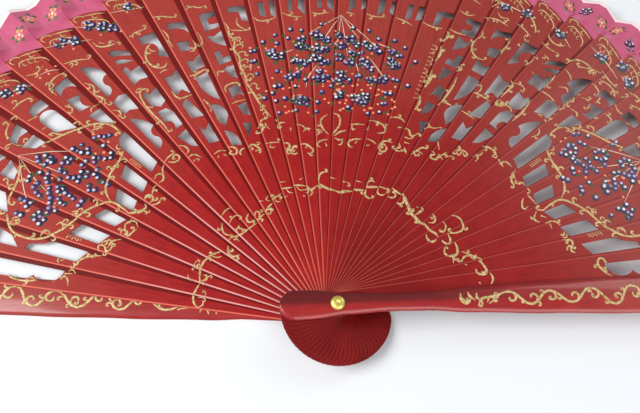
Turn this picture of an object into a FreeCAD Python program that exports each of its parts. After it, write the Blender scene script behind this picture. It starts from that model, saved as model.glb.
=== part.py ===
import FreeCAD
import Part
import math
import os

# Open folding fan, lying on its back guard. Millimetres, +Z up.
# The origin is on the rivet's axis, in the plane of the back guard's underside.
# The back guard points to -X, the front guard to +X and the sticks fan out over +Y.

Vector = FreeCAD.Vector

# Driving dimensions
FAN_RADIUS = 207.0           # rivet to the leaf's outer edge
HEAD_RADIUS = 21.4           # rivet to the rounded end of each head
STICK_COUNT = 32
PITCH_DEG = 5.27             # angle between one blade and the next, fan fully open
LAST_BLADE = STICK_COUNT + 1             # the back guard is blade 0, the front guard is the last
PITCH = math.radians(PITCH_DEG)

GUARD_THICKNESS = 1.5
SLAB_AT_RIVET = 0.44         # height each stick takes in the stack at the rivet
SLAB_AT_TIP = 0.24           # and at the leaf's edge, because the sticks are planed thinner there
RUNNING_GAP = 0.06           # air between one blade and the next
SLAB_TAPER = (SLAB_AT_RIVET - SLAB_AT_TIP) / FAN_RADIUS
STACK_BASE = GUARD_THICKNESS + RUNNING_GAP

SHANK_RADIUS = 1.0
BORE_RADIUS = 1.05
RIVET_HEAD_RADIUS = 2.75
RIVET_HEAD_HEIGHT = 1.1
RIVET_HEAD_RIM = 0.35        # straight part of the head's edge, under its dome
DIMPLE_RADIUS = 0.7
DIMPLE_DEPTH = 0.35
WASHER_RADIUS = 2.6
WASHER_THICKNESS = 0.5
WASHER_SEAT_CLEARANCE = 0.1

EDGE_AT_RIVET = 4.9          # left edge's distance from the stick's axis, level with the rivet
EDGE_FLARE = 0.0228          # how fast that distance grows along the stick
BLADE_WIDTH = 1.22           # a blade's width in pitches: 1 in view and 0.22 under its neighbour
FLARE_START = 85.0           # from here outward a blade keeps that width
NECK_END = 20.0              # a stick's right edge is parallel to its axis from the head up to here
SHOULDER_LEFT = (0, 189.0)   # a stick's shoulder slopes down to the right: (pitches, radius)
SHOULDER_ON_WAY_IN = (0.32, 188.2)
SHOULDER_ON_WAY_OUT = (0.86, 184.6)
SHOULDER_RIGHT = (BLADE_WIDTH, 181.0)
TONGUE_HALF_WIDTH = 1.6
TONGUE_ROOT_LEFT = 187.6     # where the tongue that carries the leaf leaves the shoulder
TONGUE_ROOT_RIGHT = 186.7
TONGUE_END = 204.5
CUTTER_MARGIN = 10.0         # how far the blocks that cut a blade to thickness reach past it
STACK_CEILING = 40.0         # above the top of the closed stack

LEAF_INNER_RADIUS = 190.5
LEAF_THICKNESS = 0.5
LEAF_LIFT = 0.05             # cloth above the tongue that carries it
HEM_WIDTH = 1.5
EDGING_WIDTH = 0.8
EDGING_HEIGHT = 1.0
LEAF_END_DEG = 2.4           # the leaf stops this far beyond the first and last sticks

# Each window is a list of corners (u, r): u runs across a blade from its left edge, in pitches,
# and r is the distance from the rivet. Four numbers make an arc: a point on the way, then its end.
LOWER_WINDOWS = {
    1: [
        [(0.84, 130), (0.30, 126, 0.48, 118.5), (0.30, 112, 0.84, 107.5)],
    ],
    2: [
        [(0.30, 126), (0.53, 125), (0.64, 120), (0.84, 116.5), (0.84, 101.5), (0.30, 104.5)],
    ],
    3: [
        [(0.30, 112), (0.84, 109), (0.84, 96.5), (0.30, 99)],
    ],
    4: [
        [(0.29, 107), (0.82, 104), (0.82, 94), (0.29, 96.5)],
    ],
    5: [
        [(0.31, 102.5), (0.84, 105.5), (0.84, 95), (0.31, 93.5)],
    ],
    6: [
        [(0.30, 107.5), (0.84, 110), (0.84, 97), (0.30, 95)],
    ],
    7: [
        [(0.30, 118), (0.50, 121.5), (0.84, 122), (0.84, 100.5), (0.30, 98.5)],
    ],
    8: [
        [(0.30, 125.5), (0.66, 121, 0.84, 115.5), (0.60, 114, 0.66, 110), (0.60, 106, 0.30, 104.5)],
    ],
    9: [
        [(0.27, 161), (0.50, 160.5), (0.82, 156.5), (0.82, 153.5), (0.50, 156.5), (0.27, 158)],
        [(0.27, 155.5), (0.48, 154), (0.78, 150.5), (0.55, 151), (0.27, 152.5)],
        [
            (0.27, 148.5), (0.42, 149.5), (0.48, 146), (0.82, 146.5),
            (0.82, 138.5), (0.55, 139.5), (0.27, 138.5),
        ],
        [(0.27, 131), (0.40, 132.5), (0.48, 130), (0.82, 132), (0.82, 123), (0.55, 121.5), (0.27, 124)],
        [(0.30, 120), (0.66, 119.5), (0.82, 116), (0.82, 108), (0.27, 107.5), (0.54, 110.5, 0.27, 113.5)],
        [(0.27, 104), (0.80, 105), (0.80, 94.5), (0.54, 96.5)],
    ],
    10: [
        [(0.29, 160.5), (0.82, 160), (0.82, 143), (0.50, 147), (0.66, 152, 0.29, 155.5)],
        [(0.28, 134), (0.55, 133), (0.82, 135.5), (0.82, 120), (0.60, 124), (0.28, 122.5)],
        [(0.28, 117), (0.55, 118.5), (0.70, 112, 0.82, 106.5), (0.28, 108)],
        [(0.32, 103), (0.50, 99.5), (0.82, 102), (0.82, 91.5), (0.32, 92.5)],
    ],
    11: [
        [(0.28, 161.5), (0.82, 159), (0.82, 151.5), (0.52, 156.5, 0.28, 157)],
        [(0.28, 149), (0.70, 147.5), (0.60, 142), (0.28, 143)],
        [(0.27, 137), (0.48, 135.5), (0.80, 138), (0.80, 130.5), (0.27, 130)],
        [(0.28, 126.5), (0.78, 127), (0.78, 110.5), (0.44, 115, 0.28, 122)],
        [(0.28, 110), (0.62, 108, 0.78, 101), (0.45, 96.5), (0.28, 99.5)],
        [(0.28, 95), (0.62, 92, 0.74, 84.5), (0.28, 86.5)],
    ],
    12: [
        [
            (0.33, 160), (0.84, 160), (0.84, 156.5), (0.54, 156),
            (0.54, 152.5), (0.84, 152), (0.84, 149.5), (0.33, 149),
        ],
        [(0.30, 146.5), (0.55, 145), (0.84, 147), (0.84, 137.5), (0.62, 139.5), (0.45, 141.5)],
        [(0.33, 136), (0.56, 136), (0.56, 131.5), (0.84, 132), (0.84, 128.5), (0.33, 128)],
        [(0.40, 125.5), (0.84, 126), (0.82, 118), (0.58, 120.5)],
        [(0.29, 114), (0.68, 115.5), (0.84, 107.5), (0.60, 109.5, 0.29, 107)],
        [(0.36, 104), (0.80, 104.5), (0.80, 97), (0.50, 98.5)],
        [(0.29, 94.5), (0.72, 93), (0.32, 86.5)],
    ],
    13: [
        [(0.28, 160), (0.84, 158.5), (0.84, 148.5), (0.64, 150), (0.60, 155.5), (0.28, 156)],
    ],
    14: [
        [(0.28, 159), (0.48, 159), (0.48, 149), (0.28, 150.5)],
        [(0.66, 159), (0.84, 159), (0.84, 148), (0.66, 150)],
    ],
    15: [
        [(0.28, 159), (0.42, 159), (0.42, 151.5), (0.28, 150)],
        [(0.62, 159), (0.84, 159), (0.84, 147.5), (0.62, 152)],
    ],
    16: [
        [(0.28, 159), (0.42, 159), (0.42, 151), (0.28, 152.5)],
        [(0.62, 159), (0.84, 159), (0.84, 149), (0.62, 153)],
    ],
}

# Above each side medallion the same windows stand on both sides of its cusp, which is blade 5's left edge.
UPPER_WINDOWS = {
    5: [
        [(0.30, 158), (0.84, 161.5), (0.84, 154.5), (0.56, 155.5), (0.30, 154)],
        [(0.30, 151.5), (0.84, 151.5), (0.84, 144.5), (0.52, 146)],
    ],
    6: [
        [(0.30, 160.5), (0.50, 162.5), (0.84, 162), (0.84, 156.5), (0.30, 157.5)],
        [(0.28, 153), (0.60, 156, 0.84, 152), (0.84, 139), (0.28, 144.5)],
    ],
    7: [
        [(0.30, 162), (0.84, 162.5), (0.84, 155), (0.48, 158, 0.30, 155.5)],
        [(0.30, 153), (0.84, 150.5), (0.56, 147, 0.74, 142.5), (0.30, 144)],
        [(0.36, 139.5), (0.84, 139), (0.84, 128.5), (0.50, 133)],
    ],
    8: [
        [(0.30, 162), (0.66, 158, 0.80, 151.5), (0.58, 150, 0.58, 146), (0.52, 142, 0.30, 141)],
        [(0.30, 137), (0.60, 138.5), (0.84, 137.5), (0.84, 127), (0.56, 129), (0.30, 128.5)],
    ],
}
CUSP_BLADE = 5
UPPER_WINDOW_SPAN = 1.14     # their left and right margins are even about half of this, u = 0.57

# Half-width of a guard at distances from the rivet: a round head, a slim neck, then a long flare
GUARD_HEAD_CENTRE = -15.7
GUARD_HEAD_RADIUS = 5.7
GUARD_HALF_WIDTHS = [
    (-9, 5.5), (4, 4.1), (20, 3.4), (34, 3.6), (50, 4.9),
    (81, 6.2), (112, 7.3), (150, 8.2), (196, 8.3),
]
GUARD_TIP_RADIUS = 206.0


def left_edge(r):
    """Distance of a blade's left edge from its axis."""
    return EDGE_AT_RIVET + EDGE_FLARE * r


def on_blade(u, r):
    """The point at u pitches from a blade's left edge and r from the rivet, the blade pointing to +Y."""
    return Vector(u * PITCH * r - left_edge(r), r, 0)


def closed_face(corners):
    """A face from (point,) or (way point, end point) entries joined by lines and arcs."""
    edges = []
    last = corners[-1][-1]
    for corner in corners:
        if len(corner) == 2:
            edges.append(Part.Arc(last, corner[0], corner[1]).toShape())
        else:
            edges.append(Part.makeLine(last, corner[0]))
        last = corner[-1]
    return Part.Face(Part.Wire(edges))


def window_face(outline, mirrored):
    corners = []
    for entry in outline:
        points = [entry[:2], entry[2:]] if len(entry) == 4 else [entry]
        if mirrored:
            points = [(BLADE_WIDTH - u, r) for u, r in points]
        corners.append(tuple(on_blade(u, r) for u, r in points))
    return closed_face(corners)


def left_half_windows(number):
    """The windows of a blade in the fan's left half."""
    windows = LOWER_WINDOWS.get(number, []) + UPPER_WINDOWS.get(number, [])
    twin = 2 * CUSP_BLADE - 1 - number
    if number < CUSP_BLADE:
        for outline in UPPER_WINDOWS[twin]:
            flipped = []
            for entry in outline:
                across = [UPPER_WINDOW_SPAN - u for u in entry[0::2]]
                pairs = zip(across, entry[1::2])
                flipped.append(tuple(value for pair in pairs for value in pair))
            windows = windows + [flipped]
    return windows


def stick_face(number):
    """A stick's flat outline: round head, straight left edge, sloping shoulder, tongue and windows."""
    head_half = left_edge(-HEAD_RADIUS)
    head_centre = head_half - HEAD_RADIUS
    tongue_tip = TONGUE_END - TONGUE_HALF_WIDTH
    outline = [
        (Vector(0, -HEAD_RADIUS, 0), Vector(-head_half, head_centre, 0)),
        (on_blade(*SHOULDER_LEFT),),
        (on_blade(*SHOULDER_ON_WAY_IN), Vector(-TONGUE_HALF_WIDTH, TONGUE_ROOT_LEFT, 0)),
        (Vector(-TONGUE_HALF_WIDTH, tongue_tip, 0),),
        (Vector(0, TONGUE_END, 0), Vector(TONGUE_HALF_WIDTH, tongue_tip, 0)),
        (Vector(TONGUE_HALF_WIDTH, TONGUE_ROOT_RIGHT, 0),),
        (on_blade(*SHOULDER_ON_WAY_OUT), on_blade(*SHOULDER_RIGHT)),
        (on_blade(BLADE_WIDTH, FLARE_START),),
        (Vector(head_half, NECK_END, 0),),
        (Vector(head_half, head_centre, 0),),
    ]
    face = closed_face(outline)
    mirrored = number > STICK_COUNT / 2
    twin = LAST_BLADE - number if mirrored else number
    holes = [window_face(w, mirrored) for w in left_half_windows(twin)]
    return face.cut(holes) if holes else face


def guard_face():
    """A guard's flat outline: round head, waist and flare, the same on both sides."""
    left = [Vector(-w, y, 0) for y, w in GUARD_HALF_WIDTHS]
    right = [Vector(w, y, 0) for y, w in reversed(GUARD_HALF_WIDTHS)]
    head_left = Vector(-GUARD_HEAD_RADIUS, GUARD_HEAD_CENTRE, 0)
    head_right = Vector(GUARD_HEAD_RADIUS, GUARD_HEAD_CENTRE, 0)
    head_end = Vector(0, GUARD_HEAD_CENTRE - GUARD_HEAD_RADIUS, 0)
    left_curve = Part.BSplineCurve()
    left_curve.interpolate([head_left] + left)
    right_curve = Part.BSplineCurve()
    right_curve.interpolate(right + [head_right])
    edges = [
        left_curve.toShape(),
        Part.Arc(left[-1], Vector(0, GUARD_TIP_RADIUS, 0), right[0]).toShape(),
        right_curve.toShape(),
        Part.Arc(head_right, head_end, head_left).toShape(),
    ]
    return Part.Face(Part.Wire(edges))


def slab_height(y):
    return SLAB_AT_RIVET - SLAB_TAPER * y


def wedge(bottom, top):
    """A block wider than any blade, between two sloping planes given as functions of y."""
    near = -HEAD_RADIUS - CUTTER_MARGIN
    far = FAN_RADIUS + CUTTER_MARGIN
    half = HEAD_RADIUS + CUTTER_MARGIN
    profile = [
        Vector(-half, near, bottom(near)),
        Vector(-half, far, bottom(far)),
        Vector(-half, far, top(far)),
        Vector(-half, near, top(near)),
    ]
    return Part.Face(Part.makePolygon(profile + profile[:1])).extrude(Vector(2 * half, 0, 0))


def blade(face, bottom, top):
    """The outline between two sloping planes, bored for the rivet."""
    height = STACK_CEILING + CUTTER_MARGIN
    prism = face.extrude(Vector(0, 0, height))
    prism.translate(Vector(0, 0, -CUTTER_MARGIN))
    solid = prism.common(wedge(bottom, top))
    bore = Part.makeCylinder(BORE_RADIUS, height, Vector(0, 0, -CUTTER_MARGIN))
    return solid.cut(bore)


def blade_angle(number):
    """Direction of a blade's axis, in degrees from +X, fan fully open."""
    return 90 + PITCH_DEG * (LAST_BLADE / 2 - number)


def turned(shape, number):
    shape.rotate(Vector(0, 0, 0), Vector(0, 0, 1), blade_angle(number) - 90)
    return shape


def save(shape, name):
    solids = shape.Solids
    result = solids[0] if len(solids) == 1 else Part.makeCompound(solids)
    result.exportStep("parts/" + name + ".step")


def stick_bottom(number):
    return lambda y: STACK_BASE + (number - 1) * slab_height(y)


def stick_top(number):
    return lambda y: STACK_BASE + number * slab_height(y) - RUNNING_GAP


def make_stick(number):
    return turned(blade(stick_face(number), stick_bottom(number), stick_top(number)), number)


def make_back_guard():
    """Lies flat, with a counterbore under the rivet for the washer."""
    guard = blade(guard_face(), lambda y: 0.0, lambda y: GUARD_THICKNESS)
    seat = Part.makeCylinder(WASHER_RADIUS + WASHER_SEAT_CLEARANCE, WASHER_THICKNESS + WASHER_SEAT_CLEARANCE)
    return turned(guard.cut(seat), 0)


def make_front_guard():
    bottom = stick_bottom(LAST_BLADE)
    return turned(blade(guard_face(), bottom, lambda y: bottom(y) + GUARD_THICKNESS), LAST_BLADE)


def dome_radius(half_width, height):
    """Radius of the sphere whose cap has this half width and height."""
    return (half_width ** 2 + height ** 2) / (2 * height)


def make_rivet():
    """Shank through the whole stack with a domed head that has a small dimple in its crown."""
    slope = STICK_COUNT * SLAB_TAPER
    guard_top = stick_bottom(LAST_BLADE)(0) + GUARD_THICKNESS
    seat = guard_top + slope * RIVET_HEAD_RADIUS + RUNNING_GAP
    crown = seat + RIVET_HEAD_HEIGHT
    dome = dome_radius(RIVET_HEAD_RADIUS, RIVET_HEAD_HEIGHT - RIVET_HEAD_RIM)
    dimple = dome_radius(DIMPLE_RADIUS, DIMPLE_DEPTH)
    head = Part.makeCylinder(RIVET_HEAD_RADIUS, RIVET_HEAD_HEIGHT, Vector(0, 0, seat))
    head = head.common(Part.makeSphere(dome, Vector(0, 0, crown - dome)))
    head = head.cut(Part.makeSphere(dimple, Vector(0, 0, crown - DIMPLE_DEPTH + dimple)))
    return Part.makeCylinder(SHANK_RADIUS, seat).fuse(head).removeSplitter()


def make_rear_washer():
    disc = Part.makeCylinder(WASHER_RADIUS, WASHER_THICKNESS)
    hole = Part.makeCylinder(SHANK_RADIUS, WASHER_THICKNESS)
    return disc.cut(hole)


def ring_step(profile, number):
    """A profile of (r, z) corners swept round the rivet over one pitch, centred on a stick."""
    start = blade_angle(number) - PITCH_DEG / 2
    end = blade_angle(number) + PITCH_DEG / 2
    if number == 1:
        end = blade_angle(number) + LEAF_END_DEG
    if number == STICK_COUNT:
        start = blade_angle(number) - LEAF_END_DEG
    points = [Vector(r, 0, z) for r, z in profile]
    face = Part.Face(Part.makePolygon(points + points[:1]))
    shape = face.revolve(Vector(0, 0, 0), Vector(0, 0, 1), end - start)
    shape.rotate(Vector(0, 0, 0), Vector(0, 0, 1), start)
    return shape


def joined(shapes):
    return shapes[0].fuse(shapes[1:]).removeSplitter()


def leaf_underside(number):
    return stick_top(number)(LEAF_INNER_RADIUS) + LEAF_LIFT


def make_leaf():
    """The pleated cloth as one plain stepped band: it lies on the tongues and its hem reaches the table."""
    steps = []
    for number in range(1, STICK_COUNT + 1):
        low = leaf_underside(number)
        high = low + LEAF_THICKNESS
        hem = FAN_RADIUS - HEM_WIDTH
        profile = [
            (LEAF_INNER_RADIUS, low),
            (hem, low),
            (hem, 0),
            (FAN_RADIUS, 0),
            (FAN_RADIUS, high),
            (LEAF_INNER_RADIUS, high),
        ]
        steps.append(ring_step(profile, number))
    return joined(steps)


def make_leaf_edging():
    """The narrow binding glued along the leaf's outer edge, stepping up with it."""
    steps = []
    for number in range(1, STICK_COUNT + 1):
        high = leaf_underside(number) + LEAF_THICKNESS
        low = high - EDGING_HEIGHT
        outer = FAN_RADIUS + EDGING_WIDTH
        profile = [(FAN_RADIUS, low), (outer, low), (outer, high), (FAN_RADIUS, high)]
        steps.append(ring_step(profile, number))
    return joined(steps)


os.makedirs("parts", exist_ok=True)
save(make_back_guard(), "back_guard")
for stick in range(1, STICK_COUNT + 1):
    save(make_stick(stick), "stick_%02d" % stick)
save(make_front_guard(), "front_guard")
save(make_rivet(), "rivet")
save(make_rear_washer(), "rear_washer")
save(make_leaf(), "leaf")
save(make_leaf_edging(), "leaf_edging")
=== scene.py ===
import math
import random

import bmesh
import bpy
from mathutils import Matrix, Vector
from mathutils.bvhtree import BVHTree
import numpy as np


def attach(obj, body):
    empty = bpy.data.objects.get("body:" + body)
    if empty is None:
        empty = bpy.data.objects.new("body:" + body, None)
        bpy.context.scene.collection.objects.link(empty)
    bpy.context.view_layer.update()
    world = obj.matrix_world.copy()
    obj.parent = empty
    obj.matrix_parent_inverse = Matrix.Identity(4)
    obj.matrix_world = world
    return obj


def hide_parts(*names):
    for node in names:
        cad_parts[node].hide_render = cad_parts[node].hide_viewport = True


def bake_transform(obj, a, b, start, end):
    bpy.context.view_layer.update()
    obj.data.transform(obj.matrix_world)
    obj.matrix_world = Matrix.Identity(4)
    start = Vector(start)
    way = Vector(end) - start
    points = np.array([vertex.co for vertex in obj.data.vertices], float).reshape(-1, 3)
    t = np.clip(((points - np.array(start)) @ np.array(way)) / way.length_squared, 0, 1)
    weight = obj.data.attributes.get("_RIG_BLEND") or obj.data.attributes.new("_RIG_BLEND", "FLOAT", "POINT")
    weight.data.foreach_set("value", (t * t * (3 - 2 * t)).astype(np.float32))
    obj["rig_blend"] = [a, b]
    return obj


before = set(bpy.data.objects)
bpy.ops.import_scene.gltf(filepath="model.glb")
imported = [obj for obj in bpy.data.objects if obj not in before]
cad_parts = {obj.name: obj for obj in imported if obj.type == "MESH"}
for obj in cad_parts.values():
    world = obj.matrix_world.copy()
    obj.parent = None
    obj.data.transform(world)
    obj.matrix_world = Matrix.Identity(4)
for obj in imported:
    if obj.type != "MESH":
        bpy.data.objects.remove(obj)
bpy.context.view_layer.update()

MM = 0.001
scene = bpy.context.scene
scene.view_settings.view_transform = "Standard"

# ---- Camera -----------------------------------------------------------------------------
# Held a quarter of a metre above the table and a little behind the rivet, looking down along
# the open sticks with a slight roll. The shift keeps the rivet low in the frame.
camera_data = bpy.data.cameras.new("camera")
camera = bpy.data.objects.new("camera", camera_data)
scene.collection.objects.link(camera)
scene.camera = camera
camera_data.lens = 35.59
camera_data.sensor_width = 36
camera_data.shift_x = -0.0771
camera_data.shift_y = 0.0147
camera_data.clip_start = 0.01
TO_RIGHT = Vector((0.99766628, -0.00954079, 0.06760898))
TO_TOP = Vector((-0.019955, 0.90621465, 0.42234679))
BACKWARD = Vector((-0.06529777, -0.42271028, 0.90390941))
STAND = Vector((-0.00430, -0.06947, 0.24175))
camera.matrix_world = Matrix.Translation(STAND) @ Matrix((TO_RIGHT, TO_TOP,
                                                          BACKWARD)).transposed().to_4x4()


# ---- Table top and light ----------------------------------------------------------------
# A plain matt white laminate table, a broad window on the left, the pale wall of the
# room behind the camera, and a dim patch of sky whose haze lies on the right-hand sticks.
def linear(hexa):
    """The linear RGBA of an sRGB hex colour."""
    parts = [int(hexa[i:i + 2], 16) / 255 for i in (0, 2, 4)]
    return [c / 12.92 if c <= 0.04045 else ((c + 0.055) / 1.055) ** 2.4 for c in parts] + [1.0]


def node(material, kind, settings=None, links=None):
    """Adds one node, sets its properties and input values, and links its inputs to outputs."""
    made = material.node_tree.nodes.new(kind)
    for name, value in (settings or {}).items():
        if isinstance(name, str) and hasattr(made, name):
            setattr(made, name, value)
        else:
            made.inputs[name].default_value = value
    for name, source in (links or {}).items():
        material.node_tree.links.new(source, made.inputs[name])
    return made


def new_material(name, roughness, **settings):
    """A material with a Principled shader, whose constants are set on its own sockets."""
    material = bpy.data.materials.new(name)
    material.use_nodes = True
    shader = material.node_tree.nodes["Principled BSDF"]
    shader.inputs["Roughness"].default_value = roughness
    for socket, value in settings.items():
        shader.inputs[socket.replace("_", " ")].default_value = value
    return material, shader


def place_piece(name, work, materials, smooth=False):
    """Turns a bmesh into an object at the origin, with its place in its mesh."""
    for face in work.faces:
        face.smooth = smooth
    mesh = bpy.data.meshes.new(name)
    work.to_mesh(mesh)
    work.free()
    for material in materials:
        mesh.materials.append(material)
    obj = bpy.data.objects.new(name, mesh)
    scene.collection.objects.link(obj)
    return obj


TABLE_REACH = 3.0            # from the rivet to the table's sides, in metres
# Matt laminate: even, pale and a little cool, with no gloss of its own
laminate, shader = new_material("white_table_laminate", 0.7, Base_Color=linear("E8EBEE"))
work = bmesh.new()
bmesh.ops.create_grid(work, x_segments=1, y_segments=1, size=TABLE_REACH)
place_piece("table_top", work, [laminate])

room = bpy.data.worlds.new("room")
scene.world = room
room.use_nodes = True
room.node_tree.nodes["Background"].inputs["Color"].default_value = linear("F2F5FA")
room.node_tree.nodes["Background"].inputs["Strength"].default_value = 0.31


def soft_light(name, place, aim, size, watts):
    """A rectangular light at one place that points at another, in metres."""
    data = bpy.data.lights.new(name, "AREA")
    data.shape = "RECTANGLE"
    data.size, data.size_y = size
    data.energy = watts
    light = bpy.data.objects.new(name, data)
    scene.collection.objects.link(light)
    turn = (Vector(aim) - Vector(place)).to_track_quat("-Z", "Y").to_matrix().to_4x4()
    light.matrix_world = Matrix.Translation(place) @ turn


soft_light("window", place=(-1.0, -0.1, 1.05), aim=(0, 0.08, 0), size=(0.8, 0.9), watts=18)
soft_light("room_side", place=(0.5, -0.9, 1.1), aim=(0, 0.08, 0), size=(1.2, 0.8), watts=10.5)
soft_light("sky", place=(0.75, 0.7, 0.9), aim=(0.1, 0.08, 0), size=(0.5, 0.5), watts=2)


# ---- Sticks -----------------------------------------------------------------------------
# Thirty-two thin wooden blades, planed thinner outward, sawn with windows, stacked on the
# rivet and lacquered red. Each rides on its own pivot. Their shapes are the CAD blades,
# with the top corners eased by sanding.
STICK_COUNT = 32
LAST_BLADE = STICK_COUNT + 1                # the back guard is blade 0
PITCH = math.radians(5.27)                  # angle between neighbouring blades
EDGE_AT_RIVET = 4.9 * MM                    # a stick's left edge, from its axis
EDGE_FLARE = 0.0228
EASED_CORNER = 0.07 * MM
COPLANAR = math.radians(0.3)


def blade_turn(number):
    """Turns a blade that points to +Y into its place in the open fan."""
    return Matrix.Rotation(PITCH * (LAST_BLADE / 2 - number), 4, "Z")


def body_of(number):
    """The name of the body that a blade rides on."""
    if number == 0:
        return "base"
    return "front_guard" if number == LAST_BLADE else f"stick_{number:02d}"


def left_edge(y):
    """How far a stick's left edge stands from its axis, y from the rivet, in metres."""
    return EDGE_AT_RIVET + EDGE_FLARE * y


def merged_copy(node_name):
    """A copy of a CAD node's mesh with its loose triangles joined into flat faces."""
    copy = bmesh.new()
    copy.from_mesh(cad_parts[node_name].data)
    bmesh.ops.remove_doubles(copy, verts=copy.verts, dist=0.001 * MM)
    bmesh.ops.dissolve_limit(copy, angle_limit=COPLANAR, verts=copy.verts, edges=copy.edges)
    return copy


def top_corner_edges(copy):
    """The edges where an upward face meets a side wall."""
    found = []
    for edge in copy.edges:
        if len(edge.link_faces) == 2:
            heights = sorted(face.normal.z for face in edge.link_faces)
            if heights[1] > 0.9 and abs(heights[0]) < 0.5:
                found.append(edge)
    return found


def add_blade_map(copy, number):
    """A UV map in metres: across from the stick's left edge, and along from the rivet."""
    blade_map = copy.loops.layers.uv.new("blade")
    back = blade_turn(number).inverted()
    for face in copy.faces:
        for loop in face.loops:
            at = back @ loop.vert.co
            loop[blade_map].uv = (at.x + left_edge(at.y), at.y)


def along_fan(number, first, last):
    """0 up to one blade, 1 from another on, and even steps between."""
    return min(1, max(0, (number - first) / (last - first)))


# Urushi-type red lacquer brushed over fine-grained wood: deep and glossy on the flat, with a
# painted highlight along the left edge and a painted shadow, almost maroon, beside the next
# stick, which lies over it. The grain runs along the stick and barely shows.
def make_lacquer(name, number):
    """The lacquer of one blade, with the painted highlight and painted shade that blade has."""
    guard = number in (0, LAST_BLADE)
    shine = ({"Specular_IOR_Level": 0.4, "Coat_Weight": 0.5} if guard
             else {"Specular_IOR_Level": 0.25, "Coat_Weight": 0.06})
    material, shader = new_material(name, 0.3, Coat_Roughness=0.08, **shine)
    tree = material.node_tree
    uv = node(material, "ShaderNodeUVMap", {"uv_map": "blade"})
    split = node(material, "ShaderNodeSeparateXYZ", links={0: uv.outputs[0]})
    across, along = split.outputs[0], split.outputs[1]
    # Brushed streaks 0.5 mm apart that run along the stick
    stretch = node(
        material, "ShaderNodeMapping", {"Scale": (2000, 60, 1), "Location": (number * 3.1, number, 0)},
        {"Vector": uv.outputs[0]})
    grain = node(
        material, "ShaderNodeTexNoise", {"Scale": 1.0, "Detail": 3, "Roughness": 0.6},
        {"Vector": stretch.outputs[0]})
    # Cloudy unevenness of the brushed coat, 6 mm across
    where = node(material, "ShaderNodeTexCoord")
    cloud = node(
        material, "ShaderNodeTexNoise", {"Scale": 160, "Detail": 3}, {"Vector": where.outputs["Object"]})
    # Orange peel, 0.7 mm
    peel = node(
        material, "ShaderNodeTexNoise", {"Scale": 1400, "Detail": 1}, {"Vector": where.outputs["Object"]})
    body = node(
        material, "ShaderNodeMix", {"data_type": "RGBA", 6: linear("981416"), 7: linear("B42321")},
        {0: cloud.outputs[0]})
    # Towards the leaf the coat is thinner and the brown of the wood shows through it
    thinned = node(
        material, "ShaderNodeMapRange",
        {"interpolation_type": "SMOOTHSTEP", "From Min": 72 * MM, "From Max": 128 * MM, "To Max": 0.85},
        {0: along})
    body = node(
        material, "ShaderNodeMix", {"data_type": "RGBA", 7: linear("AE4138")},
        {0: thinned.outputs[0], 6: body.outputs[2]})
    # The right-hand sticks are darker
    right_side_darkening = 0.0 if guard else 0.2 * along_fan(number, 15, 22)
    body = node(
        material, "ShaderNodeMix",
        {"data_type": "RGBA", "blend_type": "MULTIPLY", 0: right_side_darkening, 7: linear("000000")},
        {6: body.outputs[2]})
    pores = node(
        material, "ShaderNodeMapRange", {"From Min": 0.32, "From Max": 0.66, "To Min": 0.3},
        {0: grain.outputs[0]})
    streaked = node(
        material, "ShaderNodeMix", {"data_type": "RGBA", "blend_type": "MULTIPLY", 0: 0.42},
        {6: body.outputs[2], 7: pores.outputs[0]})
    # Share of the way across the strip that shows, which is one pitch wide
    pitch_here = node(material, "ShaderNodeMath", {"operation": "MULTIPLY", 1: PITCH}, {0: along})
    shown = node(
        material, "ShaderNodeMath", {"operation": "DIVIDE"}, {0: across, 1: pitch_here.outputs[0]})
    # Painted shadow: a dark band where the next stick lies over this one, from just beyond the heads
    band_start = 0.8 + 0.1 * along_fan(number, 9, 15)
    painted_shadow_band = node(
        material, "ShaderNodeMapRange",
        {"interpolation_type": "SMOOTHSTEP", "From Min": band_start - 0.025,
         "From Max": band_start + 0.02},
        {0: shown.outputs[0]})
    shadow_band_depth = 0.85 if number < 25 else 0.3
    depth = node(
        material, "ShaderNodeMath", {"operation": "MULTIPLY", 1: shadow_band_depth}, {0: painted_shadow_band.outputs[0]})
    ahead = node(material, "ShaderNodeMapRange", {"From Min": 0.018, "From Max": 0.03}, {0: along})
    depth = node(
        material, "ShaderNodeMath", {"operation": "MULTIPLY"}, {0: depth.outputs[0], 1: ahead.outputs[0]})
    dark = node(
        material, "ShaderNodeMix", {"data_type": "RGBA", 7: linear("5E0001")},
        {0: depth.outputs[0], 6: streaked.outputs[2]})
    # Painted shadow on the roots of the upper sticks, cast by the front guard, which covers them when shut
    root_shadow_strength = 0.6 * along_fan(number, 15, 21)
    root = node(
        material, "ShaderNodeMapRange",
        {"interpolation_type": "SMOOTHSTEP", "From Min": 62 * MM, "From Max": 16 * MM, "To Max": root_shadow_strength},
        {0: along})
    dark = node(
        material, "ShaderNodeMix", {"data_type": "RGBA", 7: linear("6A0B0C")},
        {0: root.outputs[0], 6: dark.outputs[2]})
    # Painted shade on the heads round the rivet, deepest on the lower sticks
    head_shade_strength = 0.62 * max(0.15, along_fan(number, 22, 13))
    head_shade = node(
        material, "ShaderNodeMapRange", {"From Min": -2 * MM, "From Max": -9 * MM, "To Max": head_shade_strength},
        {0: along})
    dark = node(
        material, "ShaderNodeMix", {"data_type": "RGBA", 7: linear("5A0D0C")},
        {0: head_shade.outputs[0], 6: dark.outputs[2]})
    # Painted highlight where the light catches the left edge, wider and stronger on the lower sticks
    edge_highlight_width = 0.75 * MM if number < 17 else 0.5 * MM
    painted_edge_highlight = node(
        material, "ShaderNodeMapRange",
        {"interpolation_type": "SMOOTHSTEP", "From Min": edge_highlight_width, "From Max": edge_highlight_width * 0.45},
        {0: across})
    edge_highlight_strength = 0.75 if number < 12 else 0.5 if number < 17 else 0.3
    edge_highlight_amount = node(
        material, "ShaderNodeMath", {"operation": "MULTIPLY", 1: edge_highlight_strength}, {0: painted_edge_highlight.outputs[0]})
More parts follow.
